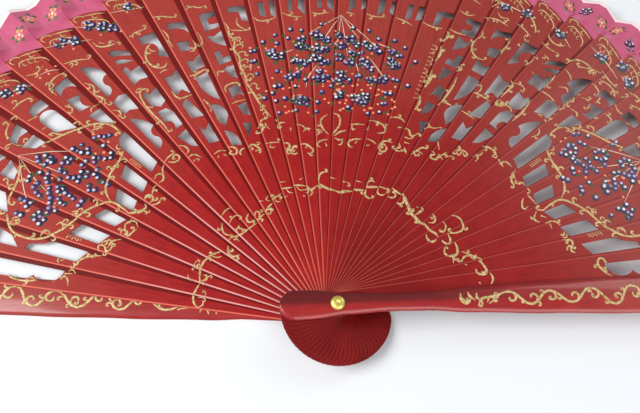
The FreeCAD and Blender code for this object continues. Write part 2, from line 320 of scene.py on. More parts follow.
    # Near the rivet the painted edge highlight of the left-hand sticks turns almost white
    paler_highlight_near_rivet = node(
        material, "ShaderNodeMapRange",
        {"From Min": 100 * MM, "From Max": 60 * MM, "To Max": 1.0 if 2 <= number <= 8 else 0.0},
        {0: along})
    edge_highlight_colour = node(
        material, "ShaderNodeMix", {"data_type": "RGBA", 6: linear("F27A66"), 7: linear("FFBCB6")},
        {0: paler_highlight_near_rivet.outputs[0]})
    colour = node(
        material, "ShaderNodeMix", {"data_type": "RGBA"},
        {0: edge_highlight_amount.outputs[0], 6: dark.outputs[2], 7: edge_highlight_colour.outputs[2]})
    if guard:
        # Painted shade for a dark reflection: the front guard's left side and the back guard's right side
        slope = node(
            material, "ShaderNodeMath", {"operation": "MULTIPLY_ADD", 1: EDGE_FLARE, 2: EDGE_AT_RIVET},
            {0: along})
        from_axis = node(
            material, "ShaderNodeMath", {"operation": "SUBTRACT"}, {0: across, 1: slope.outputs[0]})
        left_shade, right_shade = (0.0, 0.25) if number == 0 else (0.8, 0.0)
        guard_side_shade = node(
            material, "ShaderNodeMapRange",
            {"interpolation_type": "SMOOTHSTEP", "From Min": -1.2 * MM, "From Max": 1.6 * MM,
             "To Min": left_shade, "To Max": right_shade},
            {0: from_axis.outputs[0]})
        outward = node(
            material, "ShaderNodeMapRange",
            {"interpolation_type": "SMOOTHSTEP", "From Min": 75 * MM, "From Max": 25 * MM,
             "To Min": 0.25},
            {0: along})
        guard_side_shade = node(
            material, "ShaderNodeMath", {"operation": "MULTIPLY"},
            {0: guard_side_shade.outputs[0], 1: outward.outputs[0]})
        colour = node(
            material, "ShaderNodeMix", {"data_type": "RGBA", 7: linear("4E0708")},
            {0: guard_side_shade.outputs[0], 6: streaked.outputs[2]})
    tree.links.new(colour.outputs[2], shader.inputs["Base Color"])
    # Gloss follows the clouds, and both the grain and the orange peel stand up a little
    gloss = node(material, "ShaderNodeMapRange", {"To Min": 0.28, "To Max": 0.44}, {0: cloud.outputs[0]})
    tree.links.new(gloss.outputs[0], shader.inputs["Roughness"])
    skin = node(
        material, "ShaderNodeMix", {"data_type": "FLOAT", 0: 0.5},
        {2: grain.outputs[0], 3: peel.outputs[0]})
    bump = node(
        material, "ShaderNodeBump", {"Strength": 0.35, "Distance": 0.04 * MM},
        {"Height": skin.outputs[0]})
    tree.links.new(bump.outputs[0], shader.inputs["Normal"])
    return material


wood = {}          # blade number to the surface that its painting lies on
for number in range(1, STICK_COUNT + 1):
    node_name = f"stick_{number:02d}"
    work = merged_copy(node_name)
    bmesh.ops.bevel(work, geom=top_corner_edges(work), offset=EASED_CORNER, affect="EDGES", segments=2,
                    profile=0.5, material=-1)
    add_blade_map(work, number)
    wood[number] = BVHTree.FromBMesh(work)
    stick = place_piece(f"lacquered_stick_{number:02d}", work,
                        [make_lacquer(f"red_lacquered_wood_{number:02d}", number)])
    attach(stick, node_name)
    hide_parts(node_name)


# ---- Guards -----------------------------------------------------------------------------
# The two thick outer blades that close over the sticks, carved from the same wood with a
# crowned face and rounded edges, and given one more coat of lacquer than the sticks.
# Half-widths of a guard, as (mm from the rivet, mm)
GUARD_HALF_WIDTHS = [(-15.7, 5.7), (-9, 5.5), (4, 4.1), (20, 3.4), (34, 3.6), (50, 4.9), (81, 6.2),
                     (112, 7.3), (150, 8.2), (196, 8.3)]
HEAD_CENTRE, HEAD_RADIUS = -15.7, 5.7
TIP_START, TIP_LENGTH = 196, 10
TIP_ROUND = 2.6                            # power of the tip's outline: 2 is an ellipse, more is squarer
GUARD_THICKNESS = 1.5                      # mm, as are all the sizes below
STACK_BASE = 1.56                          # underside of the first stick
SLAB_AT_RIVET = 0.44                       # a stick and its air gap, in mm
SLAB_TAPER = 0.2 / 207
EDGE_ROUND, EDGE_DROP = 1.9, 0.6           # how far in the rounded edge reaches, and how much it falls
CROWN_DROP = 0.5                           # and the fall of the crowned face to its two sides
ROWS_ACROSS = 14


def slab(y):
    """Height in mm of one stick and its air gap, y mm from the rivet."""
    return SLAB_AT_RIVET - SLAB_TAPER * y


def guard_half_width(y):
    """Half the width of a guard, y mm from the rivet: round head, waist, flare, blunt tip."""
    if y <= HEAD_CENTRE:
        return math.sqrt(max(0, HEAD_RADIUS ** 2 - (y - HEAD_CENTRE) ** 2))
    if y >= TIP_START:
        return GUARD_HALF_WIDTHS[-1][1] * (1 - ((y - TIP_START) / TIP_LENGTH) ** TIP_ROUND) ** (1 / TIP_ROUND)
    for (y0, w0), (y1, w1) in zip(GUARD_HALF_WIDTHS, GUARD_HALF_WIDTHS[1:]):
        if y <= y1:
            t = (y - y0) / (y1 - y0)
            return w0 + (w1 - w0) * t * t * (3 - 2 * t)


# Rows of the grid along a guard, close together round the head and the tip
GUARD_ROWS = [HEAD_CENTRE - HEAD_RADIUS * math.cos(math.radians(a)) for a in range(0, 90, 9)]
GUARD_ROWS += [HEAD_CENTRE + 3.5 * i for i in range(61)]
GUARD_ROWS += [TIP_START + TIP_LENGTH * math.sin(math.radians(a)) for a in range(6, 91, 7)]

for number, name in ((0, "back_guard"), (LAST_BLADE, "front_guard")):
    work = bmesh.new()
    rows = len(GUARD_ROWS) - 1
    bmesh.ops.create_grid(work, x_segments=ROWS_ACROSS, y_segments=rows, size=1)
    turn = blade_turn(number)
    for vert in work.verts:
        row = round((vert.co.y + 1) / 2 * rows)
        y = GUARD_ROWS[row]
        half = guard_half_width(y)
        u = math.sin(vert.co.x * math.pi / 2)          # -1 to 1 across, closer together at the sides
        inward = (1 - abs(u)) * half
        floor = 0 if number == 0 else STACK_BASE + STICK_COUNT * slab(y)
        drop = EDGE_DROP * (1 - min(1, inward / EDGE_ROUND)) ** 2.4 + CROWN_DROP * abs(u) ** 2.2
        vert.co = turn @ (Vector((u * half, y, floor + GUARD_THICKNESS - drop)) * MM)
    bmesh.ops.remove_doubles(work, verts=work.verts, dist=0.01 * MM)
    rim = [edge for edge in work.edges if len(edge.link_faces) == 1]
    wall = bmesh.ops.extrude_edge_only(work, edges=rim)
    for vert in (made for made in wall["geom"] if isinstance(made, bmesh.types.BMVert)):
        y = (turn.inverted() @ vert.co).y / MM
        vert.co.z = 0 if number == 0 else (STACK_BASE + STICK_COUNT * slab(y)) * MM
    open_edges = [edge for edge in work.edges if len(edge.link_faces) == 1]
    bmesh.ops.holes_fill(work, edges=open_edges, sides=0)
    bmesh.ops.recalc_face_normals(work, faces=work.faces)
    add_blade_map(work, number)
    wood[number] = BVHTree.FromBMesh(work)
    guard = place_piece("lacquered_" + name, work, [make_lacquer("red_lacquered_" + name, number)])
    for face in guard.data.polygons:
        face.use_smooth = face.normal.z > 0.3
    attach(guard, body_of(number))
    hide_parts(name)


# ---- Gold scrollwork --------------------------------------------------------------------
# Scrolls, curls and borders painted freehand with a fine brush in opaque gold, the fan laid
# open, so that each line breaks where it crosses from one stick to the next.
# A point of the painting is (blade, radius): whole numbers are the blades' axes, radius in mm.
def painted_at(k, r):
    """The place on the open fan of a point (blade, radius in mm) of the painting."""
    angle = math.pi / 2 + PITCH * (LAST_BLADE / 2 - k)
    return Vector((r * MM * math.cos(angle), r * MM * math.sin(angle), 0))


MIRROR_SUM = 32.84           # the painting's two halves mirror about blade 16.42


def mirrored(strokes):
    """The same strokes on the fan's other half."""
    return [(width, [(MIRROR_SUM - k, r) for k, r in points]) for width, points in strokes]


def moved(k, r, across, out):
    """A point of the painting, moved some mm across the blades and outward."""
    return (k + across / (PITCH * r), r + out)


# Every stroke is (brush width, points), the width about 1 for a full line
INNER_RING = [
    (0.8, [(-0.15, 53.5), (0.1, 55), (0.7, 56.2), (1.3, 55.7), (1.9, 55)]),
    (0.8, [(-0.1, 53.5), (0.15, 52), (0.45, 52.2)]), (0.6, [(0.7, 54.5), (0.8, 52), (1.1, 51.5)]),
    (0.9, [(1.8, 55), (2.6, 56.5), (3.1, 57), (3.9, 56.2), (4.4, 54.5), (4.85, 52.5)]),
    (0.6, [(1.85, 57), (1.95, 59.8), (2.25, 60.8)]), (0.6, [(2.8, 57.5), (2.9, 59.3), (3.2, 60)]),
    (0.6, [(2.0, 55), (2.2, 53), (2.45, 53.2)]), (0.6, [(4.1, 55.2), (4.2, 52.8), (4.45, 51.5)]),
    (0.9, [(5.5, 51.8), (5.1, 50.5), (4.85, 48), (5.1, 46.2), (5.35, 45.6)]),
    (0.7, [(5.75, 52.8), (6.2, 52.8), (6.45, 51.5), (6.3, 49.3)]),
    (0.7, [(6.7, 60), (6.3, 58), (6.15, 55.5), (6.45, 53)]), (0.7, [(6.9, 62), (7.5, 62.8), (8.0, 62.4)]),
    (0.6, [(6.95, 57.5), (7.6, 58.4), (7.95, 57.5)]),
    (0.8, [(6.2, 53.5), (6.8, 50.8), (7.5, 50.2), (8.6, 49.6)]),
    (0.7, [(7.0, 50.5), (7.3, 52), (7.2, 53.5), (7.45, 53.9)]),
    (0.9, [(8.6, 55.2), (8.2, 54), (8.1, 52.5), (8.5, 50.8)]),
    (0.8, [(8.7, 50.3), (9.1, 50.8), (9.65, 51)]),
    (0.7, [(8.85, 52.5), (9.15, 53.8), (9.3, 52.5), (8.95, 51)]),
    (1.0, [(9.75, 51.2), (10.2, 52.5), (10.7, 53.3)]), (0.6, [(9.85, 57), (10.15, 56)]),
    (0.6, [(10.7, 57.2), (10.4, 56), (10.6, 54.7)]), (0.6, [(10.15, 52.3), (10.25, 50.8), (10.5, 50.3)]),
    (0.9, [(10.75, 54.5), (11.1, 55), (11.7, 55.5)]), (0.6, [(11.0, 54.8), (11.05, 53), (11.35, 52.2)]),
    (0.9, [(11.8, 57.5), (12.2, 57), (12.75, 56.3)]), (0.6, [(12.0, 60.5), (12.4, 59.8)]),
    (0.6, [(12.2, 56.7), (12.3, 54.8), (12.6, 53.8)]), (0.5, [(11.8, 53), (12.1, 53.5)]),
    (0.9, [(12.8, 57), (13.2, 56.5), (13.9, 55)]), (0.6, [(13.4, 58.8), (13.7, 59.3)]),
    (0.6, [(13.0, 56.6), (13.3, 53.8), (13.6, 53.9)]),
    (0.9, [(13.8, 55.5), (14.0, 53.5), (14.2, 51.8), (13.9, 50)]),
    (0.8, [(13.7, 54.3), (14.1, 53), (14.4, 53.5), (14.85, 55)]), (0.6, [(13.35, 51.2), (13.5, 50.5)]),
    (0.9, [(14.85, 55.3), (14.95, 58.5), (15.25, 60.2), (15.7, 60.4)]),
    (1.1, [(14.9, 55), (15.3, 53.2), (15.75, 51.8), (16.3, 50.9)]), (0.7, [(15.8, 57.5), (16.2, 56.6)]),
    (1.4, [(16.2, 51), (16.7, 50.3), (17.0, 50.7), (17.7, 51)]), (0.6, [(16.8, 55.3), (17.3, 55)]),
    (1.3, [(17.75, 51.8), (18.1, 51.8), (18.75, 52.3)]), (0.6, [(17.9, 56), (18.4, 55.7)]),
    (1.3, [(18.8, 53.5), (19.2, 54.3), (19.9, 55.2)]),
    (0.8, [(18.85, 54), (18.9, 56.5), (19.2, 57.3), (19.4, 56.6)]),
    (0.9, [(18.85, 52.5), (18.9, 50), (19.2, 49), (19.6, 49.2)]),
    (0.9, [(19.85, 55.3), (20.3, 55.3), (20.8, 55.7)]),
    (0.7, [(19.8, 54.5), (19.9, 52.2), (20.3, 51.8), (20.55, 53)]),
    (1.0, [(20.85, 56.5), (21.3, 55.7), (21.9, 55.2)]),
    (0.8, [(21.1, 55.5), (21.4, 53.5), (21.2, 52.2), (20.8, 52)]),
    (1.3, [(21.8, 56), (22.2, 54.3), (22.7, 52.3), (23.4, 50)]),
    (0.8, [(22.0, 54.5), (22.25, 52.3), (22.0, 50.8), (21.75, 51)]),
    (1.3, [(22.7, 51.8), (23.2, 50.2), (23.8, 49.2), (24.6, 48.6), (25.1, 49)]),
    (0.9, [(23.7, 54.5), (23.95, 54), (23.9, 52), (23.8, 50)]), (0.6, [(23.4, 53.5), (23.6, 53.8)]),
    (0.7, [(24.8, 55), (25.2, 54.5), (25.4, 52.5), (25.1, 50.8)]),
    (1.0, [(24.8, 49.5), (25.3, 49), (25.8, 48.8), (26.3, 49.5), (26.7, 49.3)]),
    (1.0, [(25.8, 46.2), (26.3, 45.3), (26.75, 46), (26.8, 48)]),
    (0.8, [(25.85, 60), (26.3, 61.8), (26.9, 61.3), (27.25, 59.5), (27.25, 57), (26.9, 53.5)]),
    (0.7, [(25.85, 55.5), (26.3, 55), (26.55, 52.5), (26.4, 51.3)]),
    (0.9, [(26.9, 53.2), (27.4, 52.8), (27.7, 51.3), (27.4, 49.8), (27.1, 49.6)]),
    (0.9, [(27.8, 53.3), (28.3, 53), (28.8, 51.5), (28.85, 49.2), (28.4, 47.3), (27.9, 48)]),
    (0.7, [(28.7, 49.8), (29.5, 48.3)]), (0.8, [(28.8, 53.8), (29.2, 55.5), (29.5, 57), (29.8, 59.3)]),
    (0.9, [(29.35, 56), (29.3, 53.5), (29.6, 51.6)]), (0.8, [(29.4, 58.5), (29.7, 56.8), (29.4, 55.8)]),
    (0.9, [(29.9, 58), (30.4, 59.3), (31.0, 59.3), (31.05, 57), (30.8, 55.6), (30.5, 55.8)]),
    (0.6, [(29.9, 52.3), (30.05, 53)]), (0.9, [(31.05, 60.5), (31.5, 61), (31.95, 59.3)]),
    (0.7, [(31.6, 55.2), (31.9, 55.7)]),
]
LOWER_BORDER = [
    (0.8, [(1.0, 128.5), (0.7, 128), (0.55, 124), (0.55, 119), (0.7, 114), (0.95, 108), (1.05, 104)]),
    (0.8, [(0.5, 104.3), (0.8, 105.5), (0.95, 108)]), (0.7, [(1.05, 103), (1.2, 104.8), (1.1, 106)]),
    (0.6, [(0.45, 119.5), (0.6, 120.5), (0.75, 119)]),
    (0.8, [(1.45, 110.5), (1.6, 108), (1.55, 105.5), (1.4, 104), (1.6, 103.5), (1.9, 100), (2.05, 95.5)]),
    (0.7, [(1.35, 110.8), (1.5, 111.5), (1.62, 109.5)]), (0.7, [(1.7, 102), (1.9, 101), (1.85, 98.5)]),
    (0.8, [(2.2, 97.5), (2.45, 98.5), (2.5, 96.5), (2.3, 94.5), (2.55, 93.5), (2.75, 94)]),
    (0.8, [(2.45, 95), (2.8, 94.5), (3.05, 91.5)]), (0.7, [(2.6, 98), (2.75, 97.2)]),
    (0.8, [(3.25, 92.5), (3.45, 93), (3.5, 91), (3.3, 89.8), (3.5, 89), (3.8, 88)]),
    (0.8, [(3.5, 91.8), (3.8, 93), (4.1, 90.5), (3.9, 88)]), (0.7, [(3.9, 92), (4.15, 92.3)]),
    (0.9, [(4.35, 94.5), (4.6, 92), (4.95, 90), (5.1, 91.5)]), (0.8, [(4.5, 91.5), (4.8, 89.5)]),
    (0.7, [(4.8, 87.5), (4.95, 88)]),
    (0.9, [(5.25, 92.3), (5.45, 93), (5.6, 91.5), (5.4, 89.5), (5.25, 90)]),
    (0.8, [(5.2, 88.5), (5.5, 86.8), (5.8, 87.5)]), (0.7, [(5.6, 91.2), (6.0, 93), (6.25, 93)]),
    (0.8, [(6.35, 95.5), (6.6, 96), (6.75, 95), (6.6, 92.5), (6.35, 92.7)]),
    (0.8, [(6.75, 93.5), (7.0, 96.5), (7.2, 97.5)]), (0.8, [(7.2, 97.8), (7.6, 98.7), (7.95, 98.5)]),
    (0.8, [(7.4, 97), (7.6, 95), (7.9, 95), (7.95, 97), (7.7, 98)]),
    (0.8, [(8.3, 100), (8.5, 97.5), (8.45, 95), (8.3, 94.5)]),
    (0.8, [(8.25, 92.5), (8.5, 92.5), (8.75, 89)]), (0.6, [(8.3, 89.5), (8.45, 90)]),
    (0.7, [(9.35, 87), (9.7, 87), (10.0, 85.5)]), (0.6, [(9.4, 84.3), (9.5, 85.5)]),
    (0.6, [(9.75, 84.5), (9.9, 83)]),
    (0.9, [(10.15, 86.5), (10.4, 85.5), (10.5, 83.5), (10.35, 81.8), (10.15, 82)]),
    (0.8, [(10.95, 82.5), (10.75, 82.5), (10.55, 81), (10.6, 80)]),
    (0.9, [(11.1, 82), (11.4, 82.5), (11.65, 80), (11.75, 78.5)]),
    (0.8, [(11.15, 80.5), (11.3, 80.2), (11.25, 82)]), (0.8, [(11.4, 79), (11.7, 78.8)]),
    (0.7, [(12.1, 80.5), (12.5, 80), (12.9, 79)]), (0.7, [(12.35, 79.5), (12.3, 78), (12.6, 77.5)]),
    (0.9, [(13.1, 78), (13.35, 77.5), (13.4, 75.5), (13.2, 74.5), (13.45, 74.3), (13.6, 75.5)]),
    (0.8, [(13.85, 75), (13.6, 74.8), (13.4, 73), (13.6, 71.5), (13.8, 72)]),
    (0.8, [(14.05, 75.5), (14.4, 75.3), (14.7, 73), (14.8, 71.5), (14.5, 70.3), (14.4, 71)]),
    (0.6, [(14.3, 73.5), (14.45, 73)]), (0.8, [(15.8, 76.5), (15.35, 75.8), (15.1, 74), (15.3, 72.6)]),
    (0.6, [(15.7, 73), (15.6, 75)]), (0.9, [(12.05, 89), (12.3, 90.5), (12.25, 87.5), (12.1, 86.5)]),
    (0.8, [(12.2, 89.3), (12.4, 92.5), (12.7, 92.5)]), (0.7, [(12.5, 90.5), (12.6, 87)]),
    (0.8, [(13.55, 88), (13.3, 88.5), (13.1, 87.5), (13.15, 86), (13.3, 86)]),
    (0.6, [(13.1, 91), (13.15, 89.5)]), (0.7, [(13.75, 85), (13.7, 83)]),
    (0.7, [(14.1, 86), (14.45, 84.5), (14.55, 82)]), (0.7, [(14.4, 81.5), (14.6, 83.2), (14.85, 82.7)]),
    (0.8, [(15.1, 82.3), (15.3, 80), (15.15, 79)]), (0.8, [(15.2, 81.8), (15.5, 81.5)]),
    (0.8, [(15.85, 89.5), (15.5, 87), (15.5, 83), (15.85, 79)]),
    (0.8, [(16.15, 90), (16.45, 88.5), (16.5, 84), (16.2, 80), (16.05, 78.5)]),
    (1.1, [(16.2, 78), (16.5, 80), (16.9, 81)]), (0.9, [(16.2, 77), (16.5, 76), (16.75, 76.5)]),
    (0.8, [(16.7, 76), (16.6, 73.8), (16.4, 73.3)]), (0.9, [(17.1, 84), (17.5, 84.5), (17.9, 84.7)]),
    (0.9, [(17.2, 84), (17.3, 81.5), (17.4, 82)]),
    (0.9, [(17.85, 77), (17.4, 76.5), (17.05, 74.5), (17.2, 72.7), (17.4, 72.5)]),
    (0.7, [(17.5, 74.5), (17.6, 76)]),
    (0.9, [(18.1, 87), (18.6, 87), (19.05, 85), (19.1, 82.5), (18.7, 81.2)]),
    (0.8, [(18.1, 82), (18.15, 84)]), (0.7, [(18.1, 77.5), (18.6, 76.5), (18.8, 75.5)]),
    (0.6, [(18.2, 74), (18.45, 74.5)]),
    (0.9, [(19.75, 78), (19.3, 78), (19.05, 76), (19.05, 73.5), (19.35, 72.5), (19.5, 74), (19.4, 75.8)]),
    (0.9, [(20.1, 78.5), (20.25, 77), (20.05, 75), (20.4, 74.8)]),
    (0.9, [(20.5, 77.5), (20.65, 76), (20.8, 74.7)]), (0.8, [(20.4, 80), (20.7, 80)]),
    (0.9, [(20.1, 87), (20.4, 86.5), (20.6, 84.3), (20.95, 87)]), (0.7, [(20.3, 82.5), (20.7, 82.3)]),
    (0.9, [(19.75, 86.5), (20.0, 87)]), (0.9, [(19.15, 90.5), (19.7, 91.5), (20.05, 90)]),
    (0.9, [(21.05, 75), (21.3, 78), (21.5, 80.5), (21.8, 80.7)]), (0.8, [(21.1, 77), (21.4, 75)]),
    (0.7, [(21.4, 78), (21.7, 77.5)]), (0.8, [(21.15, 94), (21.35, 92), (21.9, 94.3)]),
    (0.7, [(21.1, 90), (21.35, 92)]),
    (0.8, [(22.05, 81), (22.3, 80), (22.15, 78.3), (22.5, 77.7), (22.65, 80.5), (22.85, 84)]),
    (0.8, [(22.5, 80.8), (22.9, 79.5)]), (0.7, [(22.1, 86.5), (22.4, 83)]),
    (0.9, [(23.1, 86.5), (23.5, 88.7), (23.85, 88.5)]), (0.8, [(23.25, 88), (23.4, 85.5), (23.55, 88)]),
    (0.7, [(23.55, 87.8), (23.8, 86.3)]), (0.8, [(23.05, 82.5), (23.2, 83.3)]),
    (0.9, [(24.1, 96), (24.4, 97.3), (24.85, 96.8), (24.8, 95)]),
    (0.8, [(24.3, 94), (24.35, 92), (24.1, 89)]), (0.8, [(24.1, 91), (24.35, 89.8), (24.4, 87.5)]),
    (0.9, [(25.9, 97), (25.5, 96.8), (25.4, 95), (25.6, 94)]),
    (0.8, [(24.7, 96.8), (25.0, 95.8), (24.8, 94.5)]), (0.9, [(25.15, 95.8), (25.4, 94)]),
    (0.9, [(26.1, 97.5), (26.2, 94), (26.5, 91.5), (26.7, 91.5)]), (0.8, [(26.15, 95), (26.5, 93.5)]),
    (0.8, [(27.0, 95), (26.8, 95), (26.8, 93)]), (0.9, [(27.15, 95), (27.4, 94.5), (27.4, 93)]),
    (0.9, [(27.5, 93), (28.1, 93.5)]), (0.8, [(27.5, 90.5), (27.7, 88.5), (28.0, 87.5), (28.0, 90)]),
    (0.8, [(28.1, 94), (28.4, 93)]), (0.9, [(28.4, 91.5), (28.8, 88.7), (29.0, 90)]),
    (0.8, [(28.7, 92), (28.9, 93.7)]),
    (0.9, [(29.15, 92), (29.2, 95.5), (29.5, 97.3), (30.1, 97.5), (30.1, 95.5)]),
    (0.7, [(29.25, 93.5), (29.55, 93)]),
    (0.9, [(30.2, 95), (30.3, 97.5), (30.4, 98.5), (30.8, 96.5), (30.95, 97.8)]),
    (0.8, [(30.75, 95), (30.6, 95)]),
    (0.9, [(32.2, 109), (31.9, 106), (31.6, 105), (31.4, 107), (31.7, 108.5), (32.1, 107)]),
    (0.8, [(31.9, 110), (32.15, 109.8)]),
]
MEDALLION = [
    (0.9, [(4.3, 147), (3.7, 143), (3.0, 141.5), (2.5, 138), (2.15, 134), (2.03, 129), (2.1, 122),
        (2.5, 116.7), (3.1, 113), (3.6, 111), (4.1, 107.5), (4.42, 104), (4.42, 98), (4.3, 94)]),
    (0.9, [(4.42, 104), (4.8, 109), (5.3, 111.5), (6.0, 113), (6.5, 115), (6.9, 119), (7.03, 124),
        (7.0, 129), (6.8, 133), (6.4, 136.5), (5.9, 140), (5.4, 143), (4.95, 148), (4.72, 155),
    (4.85, 161), (5.2, 164)]), (0.7, [(2.35, 136), (2.6, 135), (2.55, 133)]),
    (0.7, [(2.15, 122), (2.4, 122), (2.5, 119.5)]), (0.7, [(2.7, 115.2), (2.9, 117), (2.75, 118.5)]),
    (0.7, [(3.3, 112.3), (3.5, 114), (3.4, 115.5)]), (0.7, [(5.5, 112), (5.7, 113.5), (5.6, 115)]),
    (0.7, [(6.6, 116), (6.45, 118), (6.6, 119.5)]), (0.7, [(6.85, 132.5), (6.6, 131.5), (6.5, 133)]),
    (0.7, [(6.1, 138.5), (6.2, 141), (6.4, 141.5)]), (0.8, [(5.6, 141.8), (5.7, 144.5), (5.45, 146)]),
    (0.8, [(3.6, 143), (3.5, 145.5), (3.75, 147)]), (0.8, [(3.9, 144), (4.1, 146.5), (4.3, 144.5)]),
    (0.7, [(4.72, 156), (4.95, 157.5), (5.0, 155)]), (0.8, [(5.55, 167.5), (5.9, 167.3), (6.2, 165.5)]),
    (0.8, [(6.65, 158), (6.68, 163), (6.95, 165.8), (7.4, 165.2)]), (0.7, [(6.7, 162), (6.9, 163.5)]),
    (0.8, [(7.5, 169), (7.85, 166.8), (8.15, 163.5)]),
    (0.8, [(7.5, 154), (7.62, 150), (7.45, 146), (7.55, 141), (7.42, 138.5)]),
    (0.6, [(6.55, 151), (6.6, 148)]), (1.0, [(6.63, 150.5), (6.63, 147)]),
    (0.7, [(6.9, 138.5), (7.0, 141.3), (7.3, 141)]), (0.7, [(7.45, 134), (7.6, 131), (7.45, 129)]),
    (0.8, [(1.5, 150), (1.7, 146), (1.6, 141), (1.8, 138)]), (0.8, [(2.45, 160), (2.7, 157), (3.0, 158)]),
    (0.7, [(3.5, 165), (3.75, 162), (4.0, 163)]), (0.7, [(5.5, 158), (5.8, 156), (6.0, 152)]),
    (0.7, [(5.5, 150), (5.75, 149), (5.95, 146)]), (0.7, [(6.55, 176), (6.8, 174), (7.1, 175)]),
]
SIDE_COMB = [(0.5, [(2.38 + 0.04 * (i % 2), 112 - 1.1 * i), (2.62, 111.6 - 1.1 * i)]) for i in range(6)]
SIDE_COMB += [(0.5, [(6.36, 109.6 - 1.1 * i), (6.58, 109.2 - 1.1 * i)]) for i in range(6)]
WINDOW_SCROLLS = [
    (0.8, [(8.55, 135.5), (8.72, 135), (8.6, 133.5), (8.46, 128), (8.42, 120), (8.45, 113), (8.38, 108)]),
    (0.7, [(8.6, 133.5), (8.8, 134), (8.9, 132.5)]),
    (0.8, [(8.55, 170.5), (8.6, 167), (8.85, 164.3), (9.2, 163.8)]), (0.6, [(8.7, 168.5), (8.8, 166.5)]),
    (0.6, [(8.95, 166.5), (9.1, 165)]),
    (0.9, [(10.2, 154.8), (9.88, 154), (9.63, 150.8), (9.52, 145.8), (9.63, 140.8), (9.88, 139.2),
    (10.04, 141)]), (0.7, [(9.8, 153), (9.85, 150), (9.95, 149.5)]),
    (0.7, [(9.6, 161.5), (9.65, 163.5), (9.9, 163.8), (10.15, 163.5)]),
    (0.6, [(9.75, 163.5), (9.8, 161.5)]),
    (0.8, [(10.45, 168), (10.7, 166.5), (10.9, 164.5), (11.1, 163)]),
    (0.8, [(10.5, 159), (10.55, 155), (10.5, 151)]), (1.2, [(10.48, 152), (10.5, 147)]),
    (0.8, [(11.2, 147), (11.22, 143.5), (11.08, 141), (10.9, 141.2)]),
    (1.1, [(10.45, 128.5), (10.6, 128), (10.85, 128.3), (11.15, 128.8)]),
    (0.9, [(9.6, 119.8), (9.85, 119.5), (10.15, 119)]), (0.8, [(9.55, 126), (9.6, 121), (9.75, 119.5)]),
    (0.7, [(9.6, 137), (9.75, 137.5), (9.95, 136.8)]),
    (0.7, [(11.45, 165), (11.65, 166), (11.9, 164), (12.1, 164.5)]),
    (0.7, [(11.48, 150), (11.5, 146), (11.45, 142)]),
    (0.9, [(11.42, 122.5), (11.5, 124.5), (11.75, 124), (11.95, 126.5)]),
    (0.9, [(11.42, 112.5), (11.5, 115.5), (11.8, 116.2), (12.1, 115.9)]),
    (0.9, [(10.4, 114), (10.5, 111), (10.52, 108), (10.4, 106.5)]),
    (0.7, [(11.4, 105.8), (11.7, 106), (12.1, 105.5)]), (0.6, [(10.5, 103), (10.5, 99)]),
    (0.9, [(12.45, 151), (12.5, 147), (12.45, 143), (12.55, 139), (12.42, 134), (12.5, 129), (12.4, 124),
        (12.45, 119), (12.4, 114), (12.5, 108), (12.6, 102), (12.9, 93)]),
    (0.8, [(12.55, 145.5), (12.8, 144.3), (13.1, 143)]), (0.8, [(12.9, 152), (12.85, 148), (13.1, 143)]),
    (0.8, [(13.45, 150), (13.6, 147.5), (13.95, 147), (14.2, 148)]),
    (0.7, [(14.4, 150.5), (14.75, 147.5), (15.15, 146.5)]),
    (0.8, [(15.45, 148.8), (15.7, 147.8), (16.1, 148.8)]),
]
WINDOW_SCROLLS += [(0.7, [(12.45, r), (12.62, r + 1.6), (12.78, r + 0.5), (12.7, r - 1)])
                   for r in (139, 134.5, 130, 125.5, 121, 116.5, 111)]
WINDOW_SCROLLS += [(0.7, [(12.55, r), (12.7, r + 1), (12.82, r - 0.5)]) for r in (105, 99, 95)]
